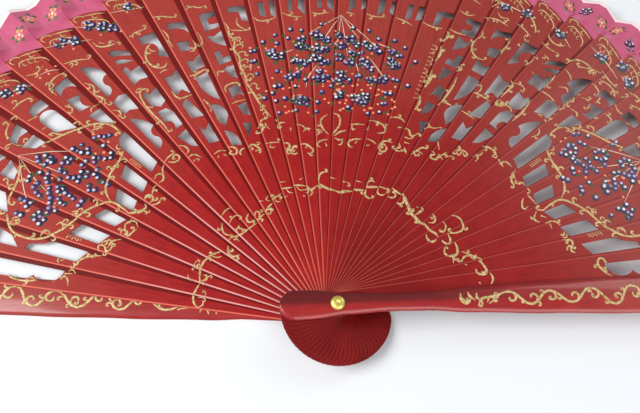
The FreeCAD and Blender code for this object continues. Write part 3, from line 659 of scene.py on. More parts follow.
RIGHT_SCROLLS = [
    (1.7, [(20.35, 148), (20.42, 145), (20.33, 141)]), (1.7, [(20.33, 138), (20.4, 133), (20.33, 128)]),
    (1.9, [(20.33, 122), (20.4, 117), (20.33, 111.5)]), (1.2, [(20.3, 106), (20.36, 102), (20.28, 98)]),
    (1.0, [(19.4, 149), (19.8, 147.8), (20.15, 148.5)]),
    (0.8, [(20.35, 149.5), (20.65, 148.5), (21.0, 149)]),
    (0.8, [(17.4, 148.5), (17.7, 147.5), (18.1, 148)]),
    (0.8, [(18.45, 148.5), (18.8, 147.3), (19.1, 145.5)]), (0.7, [(16.7, 148.8), (17.0, 148)]),
    (0.9, [(21.3, 164), (21.7, 165.5), (22.1, 164.5)]), (0.7, [(21.4, 164.2), (21.45, 162.5)]),
    (0.7, [(21.7, 165), (21.75, 163.3)]),
    (0.9, [(21.4, 150), (21.35, 145), (21.45, 141), (21.75, 138.5), (22.0, 139)]),
    (0.8, [(21.4, 149), (21.5, 152), (21.45, 156)]), (0.9, [(21.25, 126.5), (21.4, 128), (21.3, 131)]),
    (0.9, [(21.2, 104.5), (21.35, 110), (21.42, 118), (21.4, 123)]),
    (0.9, [(21.25, 107), (21.6, 107.3), (22.0, 107)]), (0.8, [(22.3, 168.5), (22.6, 167), (22.9, 164.5)]),
    (0.9, [(22.3, 160), (22.42, 155), (22.35, 149)]), (1.2, [(22.4, 151.5), (22.4, 146)]),
    (1.0, [(22.2, 118.8), (22.6, 119.3), (23.1, 118.8)]),
    (0.8, [(22.4, 119), (22.5, 121.5), (22.42, 125)]),
    (0.9, [(22.25, 106.8), (22.7, 106.5), (23.0, 106.2)]),
    (0.8, [(23.3, 165), (23.6, 163.5), (23.95, 164)]), (0.8, [(23.3, 147), (23.42, 151), (23.38, 155)]),
    (0.9, [(23.25, 135.3), (23.42, 133.5), (23.4, 129), (23.35, 124)]),
    (0.8, [(23.42, 134.8), (23.7, 135.8), (23.9, 134.8)]),
    (1.6, [(23.3, 122), (23.4, 119), (23.5, 121.5)]), (0.8, [(23.3, 122), (23.7, 121.8), (24.0, 121.3)]),
    (0.9, [(24.35, 160), (24.4, 165), (24.7, 168), (25.1, 167.5)]),
    (0.8, [(24.32, 153), (24.38, 148), (24.35, 142)]),
    (0.9, [(24.3, 132), (24.35, 128), (24.4, 122), (24.35, 116)]),
    (0.8, [(24.3, 139), (24.6, 139.5), (25.0, 139)]), (0.8, [(25.3, 147.5), (25.25, 144), (25.35, 141)]),
    (0.8, [(25.3, 170.5), (25.6, 168.5), (26.0, 167.5)]),
    (0.9, [(26.3, 170.5), (26.6, 171.5), (26.85, 170)]), (0.7, [(26.3, 165.5), (26.4, 167)]),
    (0.7, [(20.5, 181), (20.75, 183), (21.0, 181)]), (0.7, [(20.4, 171), (20.7, 172.5), (21.0, 171)]),
    (0.7, [(20.45, 163), (20.75, 161.5), (21.0, 163.5)]),
    (0.8, [(21.35, 172), (21.5, 176), (21.85, 176.5), (22.0, 174)]),
    (0.7, [(21.6, 170), (21.8, 168), (22.0, 169.5)]),
    (0.8, [(22.35, 178), (22.6, 175.5), (22.85, 171.5), (22.95, 168)]),
    (0.7, [(22.7, 163), (22.9, 159), (22.8, 155)]),
    (0.8, [(23.3, 172), (23.45, 169), (23.8, 168.5), (23.95, 171)]),
    (0.7, [(23.6, 159), (23.85, 157), (23.75, 153)]), (0.7, [(23.65, 146), (23.9, 144), (23.85, 141)]),
    (0.8, [(24.45, 158), (24.75, 156), (24.95, 152)]), (0.7, [(24.7, 147), (24.95, 149), (25.1, 146)]),
    (0.7, [(24.75, 133), (25.0, 131), (25.05, 127)]),
    (0.8, [(25.3, 161), (25.6, 160), (25.9, 157), (25.95, 153)]),
    (0.7, [(25.5, 150), (25.75, 151), (25.95, 148)]), (0.7, [(25.3, 122), (25.5, 119), (25.4, 115)]),
    (0.7, [(26.35, 160), (26.6, 158), (26.9, 159)]), (0.7, [(26.3, 151), (26.6, 152), (26.95, 150)]),
    (0.8, [(27.3, 168), (27.6, 166), (27.9, 167)]), (0.8, [(28.3, 165), (28.6, 163.5), (28.9, 160)]),
    (0.8, [(29.3, 160), (29.6, 162), (29.95, 160)]), (0.8, [(30.3, 152), (30.6, 155), (30.95, 153)]),
]
RIGHT_SCROLLS += [(0.5, [(20.0, r), (20.2, r - 0.3)]) for r in (137, 134.5, 132, 129.5, 127, 124.5, 122,
                                                                119.5, 117, 114.5, 112, 109.5, 107,
                                                                104.5)]


def shoulder_scrolls(number):
    """The curls that follow one stick's sloping shoulder."""
    left = number - 0.52
    return [(0.7, [(left + 0.12, 184.5), (left + 0.1, 187.3), (left + 0.3, 187.4), (left + 0.36, 185.6)]),
            (0.7, [(left + 0.36, 186.6), (left + 0.55, 185.4), (left + 0.75, 184), (left + 0.9, 182.6)]),
            (0.6, [(left + 0.58, 185), (left + 0.56, 182.9), (left + 0.68, 182.3)]),
            (0.65, [(left + 0.15, 181.5), (left + 0.24, 183.6), (left + 0.42, 183), (left + 0.62, 181),
                    (left + 0.8, 177.8), (left + 0.82, 175)]),
            (0.5, [(left + 0.3, 183.4), (left + 0.27, 181.2), (left + 0.36, 180.4)]),
            (0.5, [(left + 0.46, 182.6), (left + 0.42, 180.4), (left + 0.5, 179.4)]),
            (0.5, [(left + 0.61, 181), (left + 0.55, 179), (left + 0.62, 177.8)]),]


def guard_scroll(number):
    """The running scroll along a guard: a brush spray near the rivet, then curls left and right."""
    def local(x, y):
        """A point x mm right of the guard's axis and y mm from the rivet."""
        return (number + x / (PITCH * y), y)

    strokes = [
        (1.3, [local(-2.6, 46.5), local(0.2, 46.6), local(1.5, 48.5), local(-0.6, 50.5)]),
        (1.2, [local(-2.8, 49.4), local(-1, 50), local(0.5, 51.8)]),
        (1.2, [local(-2.4, 52.8), local(-0.6, 52.6), local(0.8, 54.5)]),
        (1.1, [local(-1.9, 61.5), local(-0.8, 59), local(0.4, 54), local(2, 53.2)]),
        (1.0, [local(-0.2, 57), local(1.6, 56.5)]),
        (1.0, [local(-0.6, 59.5), local(1.4, 59.8)]),
    ]
    draw = random.Random(40 + number)
    spine, bend = [], 1
    y = 57.0
    while y < 196:
        reach = guard_half_width(y)
        crest = reach * draw.uniform(0.38, 0.52) * bend
        spine.append(local(crest, y))
        if y > 60:
            size = draw.uniform(1.5, 2.1) * (0.8 + y / 500)
            centre_x, centre_y = crest - bend * size * 1.5, y + size * 0.5
            spiral = []
            for i in range(7):
                turn = math.pi / 2 * (1 - bend) - bend * 0.85 * i
                ring = size * (1.25 - 0.13 * i)
                spiral.append(local(centre_x + ring * math.cos(turn),
                                    centre_y + ring * math.sin(-turn * bend) * bend))
            strokes.append((0.9, spiral))
        bend = -bend
        y += draw.uniform(7, 9.5)
    strokes.append((1.0, spine))
    return strokes


BRUSH_RADIUS = 0.56 * MM     # half the trace of a brush of width 1
STROKE_ENDS = 0.3            # brush width left at a stroke's two ends
BEAD_SHARE = 0.08            # height of a stroke's bead for its width
BEAD_LIMIT = 0.036 * MM      # under the air gap to the next stick
SUNK = 0.006 * MM            # how deep the flat underside lies in the lacquer
ABOVE = 50 * MM              # a height clear above the fan, from which paint is laid down


def brushed(strokes):
    """Tapered brush strokes as one flat bmesh of rounded beads, lying at z = 0."""
    curve = bpy.data.curves.new("strokes", "CURVE")
    curve.dimensions = "3D"
    curve.twist_mode = "Z_UP"
    curve.bevel_depth = BRUSH_RADIUS
    curve.bevel_resolution = 1
    curve.use_fill_caps = True
    for width, points in strokes:
        spline = curve.splines.new("BEZIER")
        spline.resolution_u = 5
        spline.bezier_points.add(len(points) - 1)
        for i, (point, (k, r)) in enumerate(zip(spline.bezier_points, points)):
            point.co = painted_at(k, r)
            point.handle_left_type = point.handle_right_type = "AUTO"
            point.radius = width * (STROKE_ENDS if i in (0, len(points) - 1) else 1)
            if len(points) == 2:
                point.radius = width * (1 if i == 0 else STROKE_ENDS)
    holder = bpy.data.objects.new("strokes", curve)
    scene.collection.objects.link(holder)
    bpy.context.view_layer.update()
    mesh = bpy.data.meshes.new_from_object(holder.evaluated_get(bpy.context.evaluated_depsgraph_get()))
    beads = bmesh.new()
    beads.from_mesh(mesh)
    bpy.data.objects.remove(holder)
    bpy.data.curves.remove(curve)
    bpy.data.meshes.remove(mesh)
    for vert in beads.verts:
        vert.co.z = max(-SUNK, min(vert.co.z * 2 * BEAD_SHARE, BEAD_LIMIT))
    return beads


def barbed(strokes, every, reach, seed):
    """Strokes with small hooks flicked off them to both sides, every so many mm."""
    draw = random.Random(seed)
    added = []
    for width, points in strokes:
        side = draw.choice((-1, 1))
        for (k0, r0), (k1, r1) in zip(points, points[1:]):
            across, out = (k1 - k0) * PITCH * (r0 + r1) / 2, r1 - r0
            length = math.hypot(across, out)
            for i in range(int(length / every + draw.random())):
                t = (i + draw.uniform(0.2, 0.8)) * every / max(length, every)
                size = reach * draw.uniform(0.7, 1.15)
                ux, uy = across / length, out / length
                hook = []
                for ahead, beside in ((0, 0), (0.75, 0.45), (1.05, 1.1), (0.55, 1.35), (0.3, 0.95)):
                    dx = size * (ux * ahead - uy * beside * side)
                    dy = size * (uy * ahead + ux * beside * side)
                    r = r0 + (r1 - r0) * t + dy
                    hook.append((k0 + (k1 - k0) * t + dx / (PITCH * r), r))
                added.append((width * 0.8, hook))
                side = -side
    return strokes + added


def strip_sides(number):
    """Planes (point, outward normal) at the left and right ends of the strip of a blade that shows."""
    sides = []
    for blade, sign in ((number, 1), (number + 1, -1)):
        turn = blade_turn(blade)
        inset = 0.1 * MM if sign == 1 else 0          # paint stops just short of a stick's own edge
        point = turn @ Vector((-left_edge(0) + inset, 0, 0))
        normal = turn @ Vector((-sign, -sign * EDGE_FLARE, 0)).normalized()
        sides.append((point, normal))
    if number == LAST_BLADE:
        return []
    return sides[1:] if number == 0 else sides


def laid_on_blade(paint, number):
    """Cuts flat paint to the strip of a blade that shows and lays it on the wood there."""
    for point, normal in strip_sides(number):
        whole = paint.verts[:] + paint.edges[:] + paint.faces[:]
        cut = bmesh.ops.bisect_plane(paint, geom=whole, plane_co=point, plane_no=normal, clear_outer=True)
        rim = [edge for edge in cut["geom_cut"] if isinstance(edge, bmesh.types.BMEdge)]
        bmesh.ops.holes_fill(paint, edges=rim, sides=0)
    adrift = []
    for vert in paint.verts:
        hit, normal = wood[number].ray_cast(Vector((vert.co.x, vert.co.y, ABOVE)), Vector((0, 0, -1)))[:2]
        if hit is None or normal.z < 0.5:
            adrift.append(vert)
        else:
            vert.co.z += hit.z
    bmesh.ops.delete(paint, geom=adrift, context="VERTS")
    loose = [edge for edge in paint.edges if len(edge.link_faces) == 1]
    bmesh.ops.holes_fill(paint, edges=loose, sides=0)
    bmesh.ops.recalc_face_normals(paint, faces=paint.faces)
    return paint


def reaches(stroke, number):
    """Whether a stroke may reach the strip of a blade that shows."""
    blades = [k for k, r in stroke[1]]
    return min(blades) < number + 1.2 and max(blades) > number - 1.6


# Gold bronze paint: opaque warm gold with a dull metallic grain, a little darker where the
# brush ran thin
gold, shader = new_material("gold_bronze_paint", 0.45, Metallic=0.25)
where = node(gold, "ShaderNodeTexCoord")
thin = node(gold, "ShaderNodeTexNoise", {"Scale": 900, "Detail": 2}, {"Vector": where.outputs["Object"]})
tint = node(gold, "ShaderNodeValToRGB", links={0: thin.outputs[0]})
tint.color_ramp.elements[0].position = 0.3
tint.color_ramp.elements[0].color = linear("A5824A")
tint.color_ramp.elements[1].position = 0.6
tint.color_ramp.elements[1].color = linear("DFC28C")
gold.node_tree.links.new(tint.outputs[0], shader.inputs["Base Color"])
flake = node(
    gold, "ShaderNodeBump", {"Strength": 0.3, "Distance": 0.02 * MM}, {"Height": thin.outputs[0]})
gold.node_tree.links.new(flake.outputs[0], shader.inputs["Normal"])

outlines = barbed(MEDALLION, 5.5, 1.9, 1)
ALL_SCROLLS = (barbed(INNER_RING, 9, 1.3, 2) + barbed(LOWER_BORDER, 9, 1.4, 3)
               + outlines + mirrored(outlines))
ALL_SCROLLS += (SIDE_COMB + mirrored(SIDE_COMB)
                + barbed(WINDOW_SCROLLS, 7, 1.5, 4) + barbed(RIGHT_SCROLLS, 7, 1.5, 5))
for number in range(LAST_BLADE + 1):
    if number in (0, LAST_BLADE):
        strokes = barbed(guard_scroll(number), 17, 1.5, 60 + number)
    else:
        strokes = [stroke for stroke in ALL_SCROLLS if reaches(stroke, number)] + shoulder_scrolls(number)
    work = laid_on_blade(brushed(strokes), number)
    scroll = place_piece(f"gold_scroll_{number:02d}", work, [gold], smooth=True)
    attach(scroll, body_of(number))


# ---- Painted berries and sprigs ---------------------------------------------------------
# Bunches of dark blue berries in three cartouches and along the shoulders: each berry is one
# dab of navy with a lilac-white light at its upper left, over green leaf strokes and cream
# stems, with dots of orange. Thick tempera, so every dab stands up a little.
LEFT_BERRIES = [
    (2.73, 133.3), (3.23, 137.2), (3.23, 132.5), (2.72, 127.2), (2.87, 128.3), (2.81, 123.8),
    (3.09, 124.2), (3.03, 127.2), (3.26, 121.7), (3.59, 120), (3.7, 123.3), (3.76, 128.3), (3.92, 135),
    (4.03, 139.7), (4.09, 131.7), (4.2, 133.3), (4.09, 126.7), (4.09, 124.2), (3.98, 120), (3.98, 114.2),
    (4.59, 137.5), (4.59, 140.8), (4.87, 140), (4.89, 137.5), (4.76, 135.8), (4.61, 130), (4.7, 130.8),
    (4.92, 131.7), (5.2, 130), (4.64, 123.3), (4.81, 121.7), (4.98, 122.5), (5.09, 120), (4.59, 120.8),
    (4.64, 115.8), (4.59, 112.5), (5.09, 115), (5.03, 111.7), (5.53, 132.5), (5.81, 130.8), (5.59, 128.3),
    (5.7, 125.8), (5.53, 120.8), (5.76, 120.8), (5.87, 118.3), (6.03, 116.7), (6.2, 118.3), (6.26, 123.3),
    (6.29, 129.2), (6.7, 125), (3.45, 125.5), (3.55, 131), (4.35, 128), (5.4, 124), (4.3, 137),
    (5.35, 117.5)
]
RIGHT_BERRIES = [
    (26.74, 135.8), (26.38, 131.3), (26.93, 131.3), (26.6, 125), (26.88, 126.3), (27.02, 124.6),
    (27.1, 122.9), (26.68, 122), (26.88, 120.4), (27.35, 121.3), (27.46, 142), (27.4, 134.6),
    (27.52, 135.8), (27.7, 136.3), (27.8, 134.2), (27.6, 130.8), (27.96, 132), (27.6, 126.7),
    (27.77, 125.8), (28.04, 126.7), (27.6, 123.3), (27.88, 122), (27.68, 117), (27.8, 112.5), (28.3, 120),
    (28.5, 114.6), (28.1, 141.7), (28.13, 139.2), (28.4, 142.5), (28.43, 135), (28.38, 133),
    (28.57, 136.7), (28.8, 140), (28.93, 138), (29.02, 133), (28.77, 130), (28.93, 128.8), (28.54, 126.7),
    (28.7, 124.6), (28.93, 124.6), (28.96, 118.3), (29.63, 128.8), (29.77, 126.3), (29.88, 130),
    (30.04, 128.3), (30.1, 126.7), (29.82, 120)
]
# Bunches, as (blade, radius, berries in it)
CENTRE_BUNCHES = [
    (13.05, 130, 2), (13.0, 124, 2), (12.95, 117, 1), (13.55, 134, 1), (14.05, 137, 1), (14.05, 132, 1),
    (13.75, 127, 6), (13.85, 124, 4), (14.1, 125, 3), (13.8, 116, 1), (14.2, 111.5, 3), (14.6, 112, 4),
    (14.65, 139, 1), (15.05, 138, 1), (14.5, 134, 1), (15.0, 133, 3), (14.85, 129, 5), (15.1, 127.5, 3),
    (14.65, 120.5, 5), (14.9, 118.5, 4), (15.15, 119.5, 3), (15.8, 141, 1), (15.55, 135, 4),
    (15.7, 133, 5), (15.95, 131, 5), (15.5, 127, 5), (15.7, 125, 5), (15.9, 126, 3), (15.45, 121, 4),
    (15.7, 119, 4), (15.95, 118.5, 3), (15.6, 113, 3), (15.9, 110, 3), (13.65, 107.5, 2),
    (13.35, 104.5, 1), (12.93, 103, 1), (13.4, 100, 1), (13.85, 100.5, 1), (13.4, 93.5, 1),
    (14.25, 93, 1), (14.45, 106, 1), (14.45, 99, 6), (14.65, 98, 6), (14.8, 96.5, 4), (14.95, 109, 1),
    (15.4, 109, 3), (15.65, 108.5, 3), (15.65, 101.5, 1), (15.4, 96, 1), (15.3, 91, 1), (16.1, 104.5, 1),
    (16.35, 98, 1), (16.4, 107, 4), (16.45, 134, 4), (16.5, 128, 6), (16.5, 121, 6), (16.5, 111, 4),
    (16.98, 139, 1), (16.9, 132, 5), (16.9, 118, 6), (17.0, 124, 4), (17.1, 129, 4), (16.8, 108, 4),
    (17.57, 138, 1), (17.98, 133.5, 1), (17.5, 129, 4), (17.8, 128, 6), (18.0, 126, 3), (17.35, 124, 2),
    (17.45, 119, 6), (17.65, 118, 5), (17.8, 115, 3), (17.3, 110, 2), (17.8, 109, 3), (18.6, 134, 1),
    (18.55, 127, 3), (18.9, 125, 2), (18.7, 120, 6), (18.85, 119, 4), (18.6, 122, 2), (19.05, 131, 1),
    (19.6, 124, 1), (18.45, 110.5, 4), (19.0, 111, 2), (19.6, 109.5, 1), (16.5, 99.5, 4), (16.95, 93, 1),
    (17.3, 98, 6), (17.6, 97, 6), (17.8, 100, 3), (18.0, 90.5, 1), (18.2, 109, 3), (18.6, 92, 1),
    (18.8, 103, 2), (18.75, 97, 2)
]
SHOULDER_BUNCHES = [
    (5.8, 176, 8), (6.2, 172.5, 6), (7.9, 179.5, 6), (8.2, 176.5, 8), (8.8, 180, 6), (9.05, 175.5, 9),
    (9.3, 172, 6), (10.0, 180, 4), (1.9, 160, 8), (2.25, 156, 6), (21.7, 175, 6), (22.4, 177, 6),
    (23.6, 175, 7), (25.0, 176.5, 9), (25.6, 180, 8), (26.1, 174.5, 8), (30.8, 158, 8), (30.5, 162, 6)
]
# Sprays of stems, as the point that they hang from and their ends
SPRAYS = [
    ((4.45, 150), [(2.9, 131), (3.7, 127), (4.6, 126), (5.5, 131)]),
    ((16.5, 147), [(15.3, 136), (15.7, 128), (16.3, 124), (16.8, 122), (17.2, 133), (17.9, 129)]),
    ((28.4, 149), [(27.1, 133), (27.9, 128), (28.6, 124), (29.5, 129)])
]
LONE_DOTS = [(6.8, 173.5), (7.05, 172), (7.0, 169.5), (7.3, 170.8), (6.75, 170.5), (26.3, 127),
             (26.3, 124), (29.3, 130), (29.6, 124), (27.7, 120)]
BERRY_RADIUS = 1.34          # mm
BERRY_SPACING = 2.2
DOT_RADIUS = 0.55
DAB_HEIGHT = 0.032 * MM

draw = random.Random(526)
berries, dots, leaves, stems = [], [], [], []          # places as (blade, radius)
for k, r, count in CENTRE_BUNCHES + SHOULDER_BUNCHES:
    for i in range(count):
        spread = 0.75 * math.sqrt(count) * (0 if count == 1 else draw.uniform(0.5, 1.2))
        turn = i * 2.4 + draw.random()
        r_here = r + spread * math.sin(turn)
        berries.append((k + spread * math.cos(turn) / (PITCH * r_here), r_here))
    for i in range(count // 2):
        dots.append(moved(k, r, draw.uniform(-3, 3), draw.uniform(-3.5, 3.5)))
    for i in range(count):
        leaves.append((*moved(k, r, draw.uniform(-2.6, 2.6), draw.uniform(-3, 3)),
                       draw.uniform(0, math.pi)))
for k, r in LEFT_BERRIES + RIGHT_BERRIES:
    berries.append((k, r))
    if draw.random() < 0.65:
        turn = draw.uniform(0, math.tau)
        berries.append(moved(k, r, BERRY_SPACING * math.cos(turn), BERRY_SPACING * math.sin(turn)))
for k, r in LEFT_BERRIES + RIGHT_BERRIES:
    leaves.append((*moved(k, r, draw.uniform(-2, 2), draw.uniform(-2, 2)), draw.uniform(0, math.pi)))
    if draw.random() < 0.35:
        dots.append(moved(k, r, draw.uniform(-3, 3), draw.uniform(-3, 3)))
for root, ends in SPRAYS:
    for end in ends:
        bowed = draw.uniform(-0.05, 0.05)
        middle = (root[0] * 0.45 + end[0] * 0.55 + bowed, root[1] * 0.45 + end[1] * 0.55)
        stems.append((0.4, [root, middle, end]))
stems += [
    (0.5, [(15.0, 117), (14.3, 111)]), (0.5, [(15.6, 118), (15.1, 111), (14.9, 105)]),
    (0.5, [(16.8, 124), (17.2, 117), (17.35, 108)]), (0.5, [(17.7, 122), (18.2, 115), (18.6, 109)]),
    (0.5, [(14.6, 127), (13.7, 125)]), (0.5, [(18.0, 131), (18.9, 128)])
]
stems += [
    (0.5, [(5.3, 178), (5.9, 175), (6.5, 170)]), (0.5, [(7.5, 182), (8.0, 178), (8.6, 172)]),
    (0.5, [(8.5, 183), (8.9, 177), (9.4, 170)]), (0.5, [(9.5, 181), (10.0, 178), (10.4, 176)]),
    (0.5, [(23.3, 178), (23.7, 175), (24.1, 171)]), (0.5, [(24.5, 179), (25.2, 176), (25.8, 172)]),
    (0.4, [(6.8, 172), (7.1, 170.5), (7.3, 168)]), (0.5, [(21.3, 178), (21.9, 177), (22.7, 177)])
]
# Dots strewn over the lower right and the lower left of the centre cartouche
dots += [(draw.uniform(16.3, 19.3), draw.uniform(90, 108)) for i in range(44)]
dots += [(draw.uniform(12.9, 16.2), draw.uniform(91, 122)) for i in range(24)]
dots += LONE_DOTS
leaf_strokes = []
for k, r, turn in leaves:
    half = draw.uniform(0.9, 1.6)
    dx, dy = half * math.cos(turn), half * math.sin(turn)
    leaf_strokes.append((draw.uniform(0.9, 1.3), [moved(k, r, -dx, -dy), (k, r), moved(k, r, dx, dy)]))

# One dab: a low dome in two steps, with its own map from -1 to 1
DAB_SIDES = 12
work = bmesh.new()
bmesh.ops.create_circle(work, cap_ends=True, segments=DAB_SIDES, radius=1)
bmesh.ops.inset_region(work, faces=work.faces[:], thickness=0.22, depth=0.6, use_even_offset=True)
top = [face for face in work.faces if len(face.verts) == DAB_SIDES]
bmesh.ops.inset_region(work, faces=top, thickness=0.3, depth=0.4, use_even_offset=True)
dab_map = work.loops.layers.uv.new("dab")
for face in work.faces:
    for loop in face.loops:
        loop[dab_map].uv = loop.vert.co.xy
work.verts.layers.float.new("tone")
dab = bpy.data.meshes.new("dab")
work.to_mesh(dab)
work.free()


def empty_paint():
    """A bmesh with the layers that a dab has."""
    paint = bmesh.new()
    paint.verts.layers.float.new("tone")
    paint.loops.layers.uv.new("dab")
    return paint


def dabbed(paint, places, radius, height, index):
    """Adds dabs to a bmesh of paint, each with a tone of its own and its upper side outward."""
    tone = paint.verts.layers.float["tone"]
    for k, r in places:
        before, faces_before = len(paint.verts), len(paint.faces)
        paint.from_mesh(dab)
        size = radius * draw.uniform(0.88, 1.12) * MM
        at = painted_at(k, r)
        facing = Matrix.Rotation(PITCH * (LAST_BLADE / 2 - k), 3, "Z")
        shade = draw.uniform(0, 1)
        lift = height * draw.uniform(0.8, 1.1)
        paint.verts.ensure_lookup_table()
        paint.faces.ensure_lookup_table()
        for vert in paint.verts[before:]:
            flat = facing @ Vector((vert.co.x * size, vert.co.y * size, 0))
            vert.co = at + flat + Vector((0, 0, vert.co.z * lift))
            vert[tone] = shade
        for face in paint.faces[faces_before:]:
            face.material_index = index


def paint_material(name, colour_low, colour_high):
    """Thick tempera of one hue, streaked by the brush every half millimetre."""
    material, shader = new_material(name, 0.42)
    where = node(material, "ShaderNodeTexCoord")
    streak = node(
        material, "ShaderNodeTexNoise", {"Scale": 1100, "Detail": 2}, {"Vector": where.outputs["Object"]})
    colour = node(
        material, "ShaderNodeMix", {"data_type": "RGBA", 6: linear(colour_low), 7: linear(colour_high)},
        {0: streak.outputs[0]})
    material.node_tree.links.new(colour.outputs[2], shader.inputs["Base Color"])
    return material


cream_paint = paint_material("cream_tempera", "C9B48C", "F4EAD2")
green_paint = paint_material("green_tempera", "1F3A20", "4E6E3A")
orange_paint = paint_material("orange_tempera", "E0733C", "FBB38A")
# Berry tempera: navy or plum, with a lilac light worked in at the upper left of each dab
berry_paint, shader = new_material("berry_tempera", 0.35)
dab_at = node(berry_paint, "ShaderNodeUVMap", {"uv_map": "dab"})
lit_side = node(
    berry_paint, "ShaderNodeVectorMath", {"operation": "DISTANCE", 1: (-0.3, 0.42, 0)},
    {0: dab_at.outputs[0]})
light = node(
    berry_paint, "ShaderNodeMapRange",
    {"interpolation_type": "SMOOTHSTEP", "From Min": 0.66, "From Max": 0.24},
    {0: lit_side.outputs["Value"]})
hue = node(berry_paint, "ShaderNodeAttribute", {"attribute_name": "tone"})
deep = node(
    berry_paint, "ShaderNodeMix", {"data_type": "RGBA", 6: linear("0E1030"), 7: linear("33204C")},
    {0: hue.outputs["Fac"]})
pale = node(
    berry_paint, "ShaderNodeMix", {"data_type": "RGBA", 6: linear("EFEFF6"), 7: linear("A294C0")},
    {0: hue.outputs["Fac"]})
colour = node(
    berry_paint, "ShaderNodeMix", {"data_type": "RGBA"},
    {0: light.outputs[0], 6: deep.outputs[2], 7: pale.outputs[2]})
berry_paint.node_tree.links.new(colour.outputs[2], shader.inputs["Base Color"])


PAINTS = [green_paint, cream_paint, orange_paint, berry_paint]
GREEN, CREAM, ORANGE, NAVY = range(4)


def near_strip(k, r, number):
    """Whether a point of the painting may touch the strip of a blade that shows."""
    u = k - number + (left_edge(r * MM) / MM) / (PITCH * r)
    margin = 2.4 / (PITCH * r)                        # wider than the largest dab
    return -margin < u < 1 + margin


def joined(paint, extra, index):
    """Adds one bmesh of paint to another, in the given material."""
    mesh = bpy.data.meshes.new("paint")
    extra.to_mesh(mesh)
    extra.free()
    before = len(paint.faces)
    paint.from_mesh(mesh)
    bpy.data.meshes.remove(mesh)
    paint.faces.ensure_lookup_table()
    for face in paint.faces[before:]:
        face.material_index = index


def crosses(points, number):
    """Whether a stem touches the strip of a blade that shows, or passes over its axis."""
    first, last = points[0][0], points[-1][0]
    over_axis = min(first, last) < number < max(first, last)
    return over_axis or any(near_strip(k, r, number) for k, r in points)


for number in range(1, STICK_COUNT + 1):
    work = empty_paint()
    leaves_here = [stroke for stroke in leaf_strokes if near_strip(*stroke[1][1], number)]
    if leaves_here:
        joined(work, brushed(leaves_here), GREEN)
    stems_here = [stroke for stroke in stems if crosses(stroke[1], number)]
    if stems_here:
        joined(work, brushed(stems_here), CREAM)
    dabbed(work, [p for p in dots if near_strip(*p, number)], DOT_RADIUS, DAB_HEIGHT, ORANGE)
    dabbed(work, [p for p in berries if near_strip(*p, number)], BERRY_RADIUS, DAB_HEIGHT * 1.15, NAVY)
    laid_on_blade(work, number)
    if not work.faces:
        work.free()
        continue
    sprig = place_piece(f"painted_sprig_{number:02d}", work, PAINTS, smooth=True)
    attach(sprig, body_of(number))


# ---- Pleated leaf -----------------------------------------------------------------------
# A narrow band of rose cotton glued over the stick tongues, pleated with a valley on every
# stick and a fold between. It is one strip; here each panel between two blades bends with
# the blades beside it. Its lower edge is cut in steps to meet the sloping shoulders.
LEAF_RADIUS = 207            # mm, as are all the sizes below
LEAF_MIDDLE = 198
PLEAT_RISE = 4.2
LEAF_LIFT = 0.03             # glue line over the tongues
CLEAR_OF_GUARD = 0.15        # between a fold of the closed fan and a guard
LAPPED = 0.06                # how far a panel's left edge lies under its neighbour
# The line of a stick's shoulder, as (pitches from the stick's left edge, radius)
SHOULDER_LINE = [(0, 189), (0.32, 188.2), (0.53, 187.3), (0.86, 184.6), (1.22, 181)]
PANEL_COLUMNS, PANEL_ROWS = 20, 8
FLAT_ON_STICK = 0.22         # share of a fold that lies flat, glued on the tongues
LEFT_SHARE = 0.472           # how far across a panel its left blade reaches
EDGING_INNER, EDGING_OUTER = 205.9, 207.8
EDGING_LIFT, EDGING_THICKNESS = 0.1, 0.25


def shoulder(u):
    """Radius of a stick's shoulder, u pitches from the stick's left edge."""
    for (u0, r0), (u1, r1) in zip(SHOULDER_LINE, SHOULDER_LINE[1:]):
        if u <= u1:
            return r0 + (r1 - r0) * (u - u0) / (u1 - u0)
    return SHOULDER_LINE[-1][1]


def pleat_rise(number):
    """Rise in mm of a panel's fold. Folds go up near the back guard and down near the front
    guard, so that the closed fan keeps them all between the two."""
    level = STACK_BASE + number * slab(LEAF_RADIUS)
    if number <= STICK_COUNT // 2:
        room = STACK_BASE + (STICK_COUNT - 1) * slab(LEAF_RADIUS) - CLEAR_OF_GUARD - level
        return min(PLEAT_RISE, room)
    return -min(PLEAT_RISE, level - GUARD_THICKNESS - CLEAR_OF_GUARD)


def leaf_height(number, t, r):
    """Height in mm of the leaf, t of the way from blade to blade, at radius r."""
    left = STACK_BASE + number * slab(r) - (LAPPED if number else 0)
    right = left if number == STICK_COUNT else left + slab(r)
    near = left if t < LEFT_SHARE else right
    flown = min(1, max(0, (r - 189) / 5))             # 0 at the shoulder, 1 where the folds are full
    ease = flown * flown * (3 - 2 * flown)
    fold = max(0, 1 - abs(2 * t - 1) - FLAT_ON_STICK) / (1 - FLAT_ON_STICK)
    pleat = pleat_rise(number) * fold * ease
    base = near * (1 - ease) + (left * (1 - t) + right * t) * ease
    return base + LEAF_LIFT + pleat


def leaf_point(number, t, r, lift):
    """A place on the leaf, in metres."""
    at = painted_at(number + t, r)
    return Vector((at.x, at.y, (leaf_height(number, t, r) + lift) * MM))


def bend_panel(piece, number):
    """Lets a panel's piece bend between the two blades beside it."""
    left = blade_turn(number) @ Vector((0, 1, 0))
    across = Vector((left.y, -left.x, 0))
    middle = left * LEAF_MIDDLE * MM
    width = LEAF_MIDDLE * MM * math.sin(PITCH)
    # The blend starts so far to the left that at the left blade it has turned by that blade's share
    share, low, high = number / (number + 1), 0.0, 1.0
    for i in range(40):
        guess = (low + high) / 2
        low, high = (guess, high) if guess * guess * (3 - 2 * guess) < share else (low, guess)
    start = -low * width / (1 - low)
    start, end = middle + across * start, middle + across * width
    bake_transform(piece, "base", body_of(number + 1), start=tuple(start), end=tuple(end))


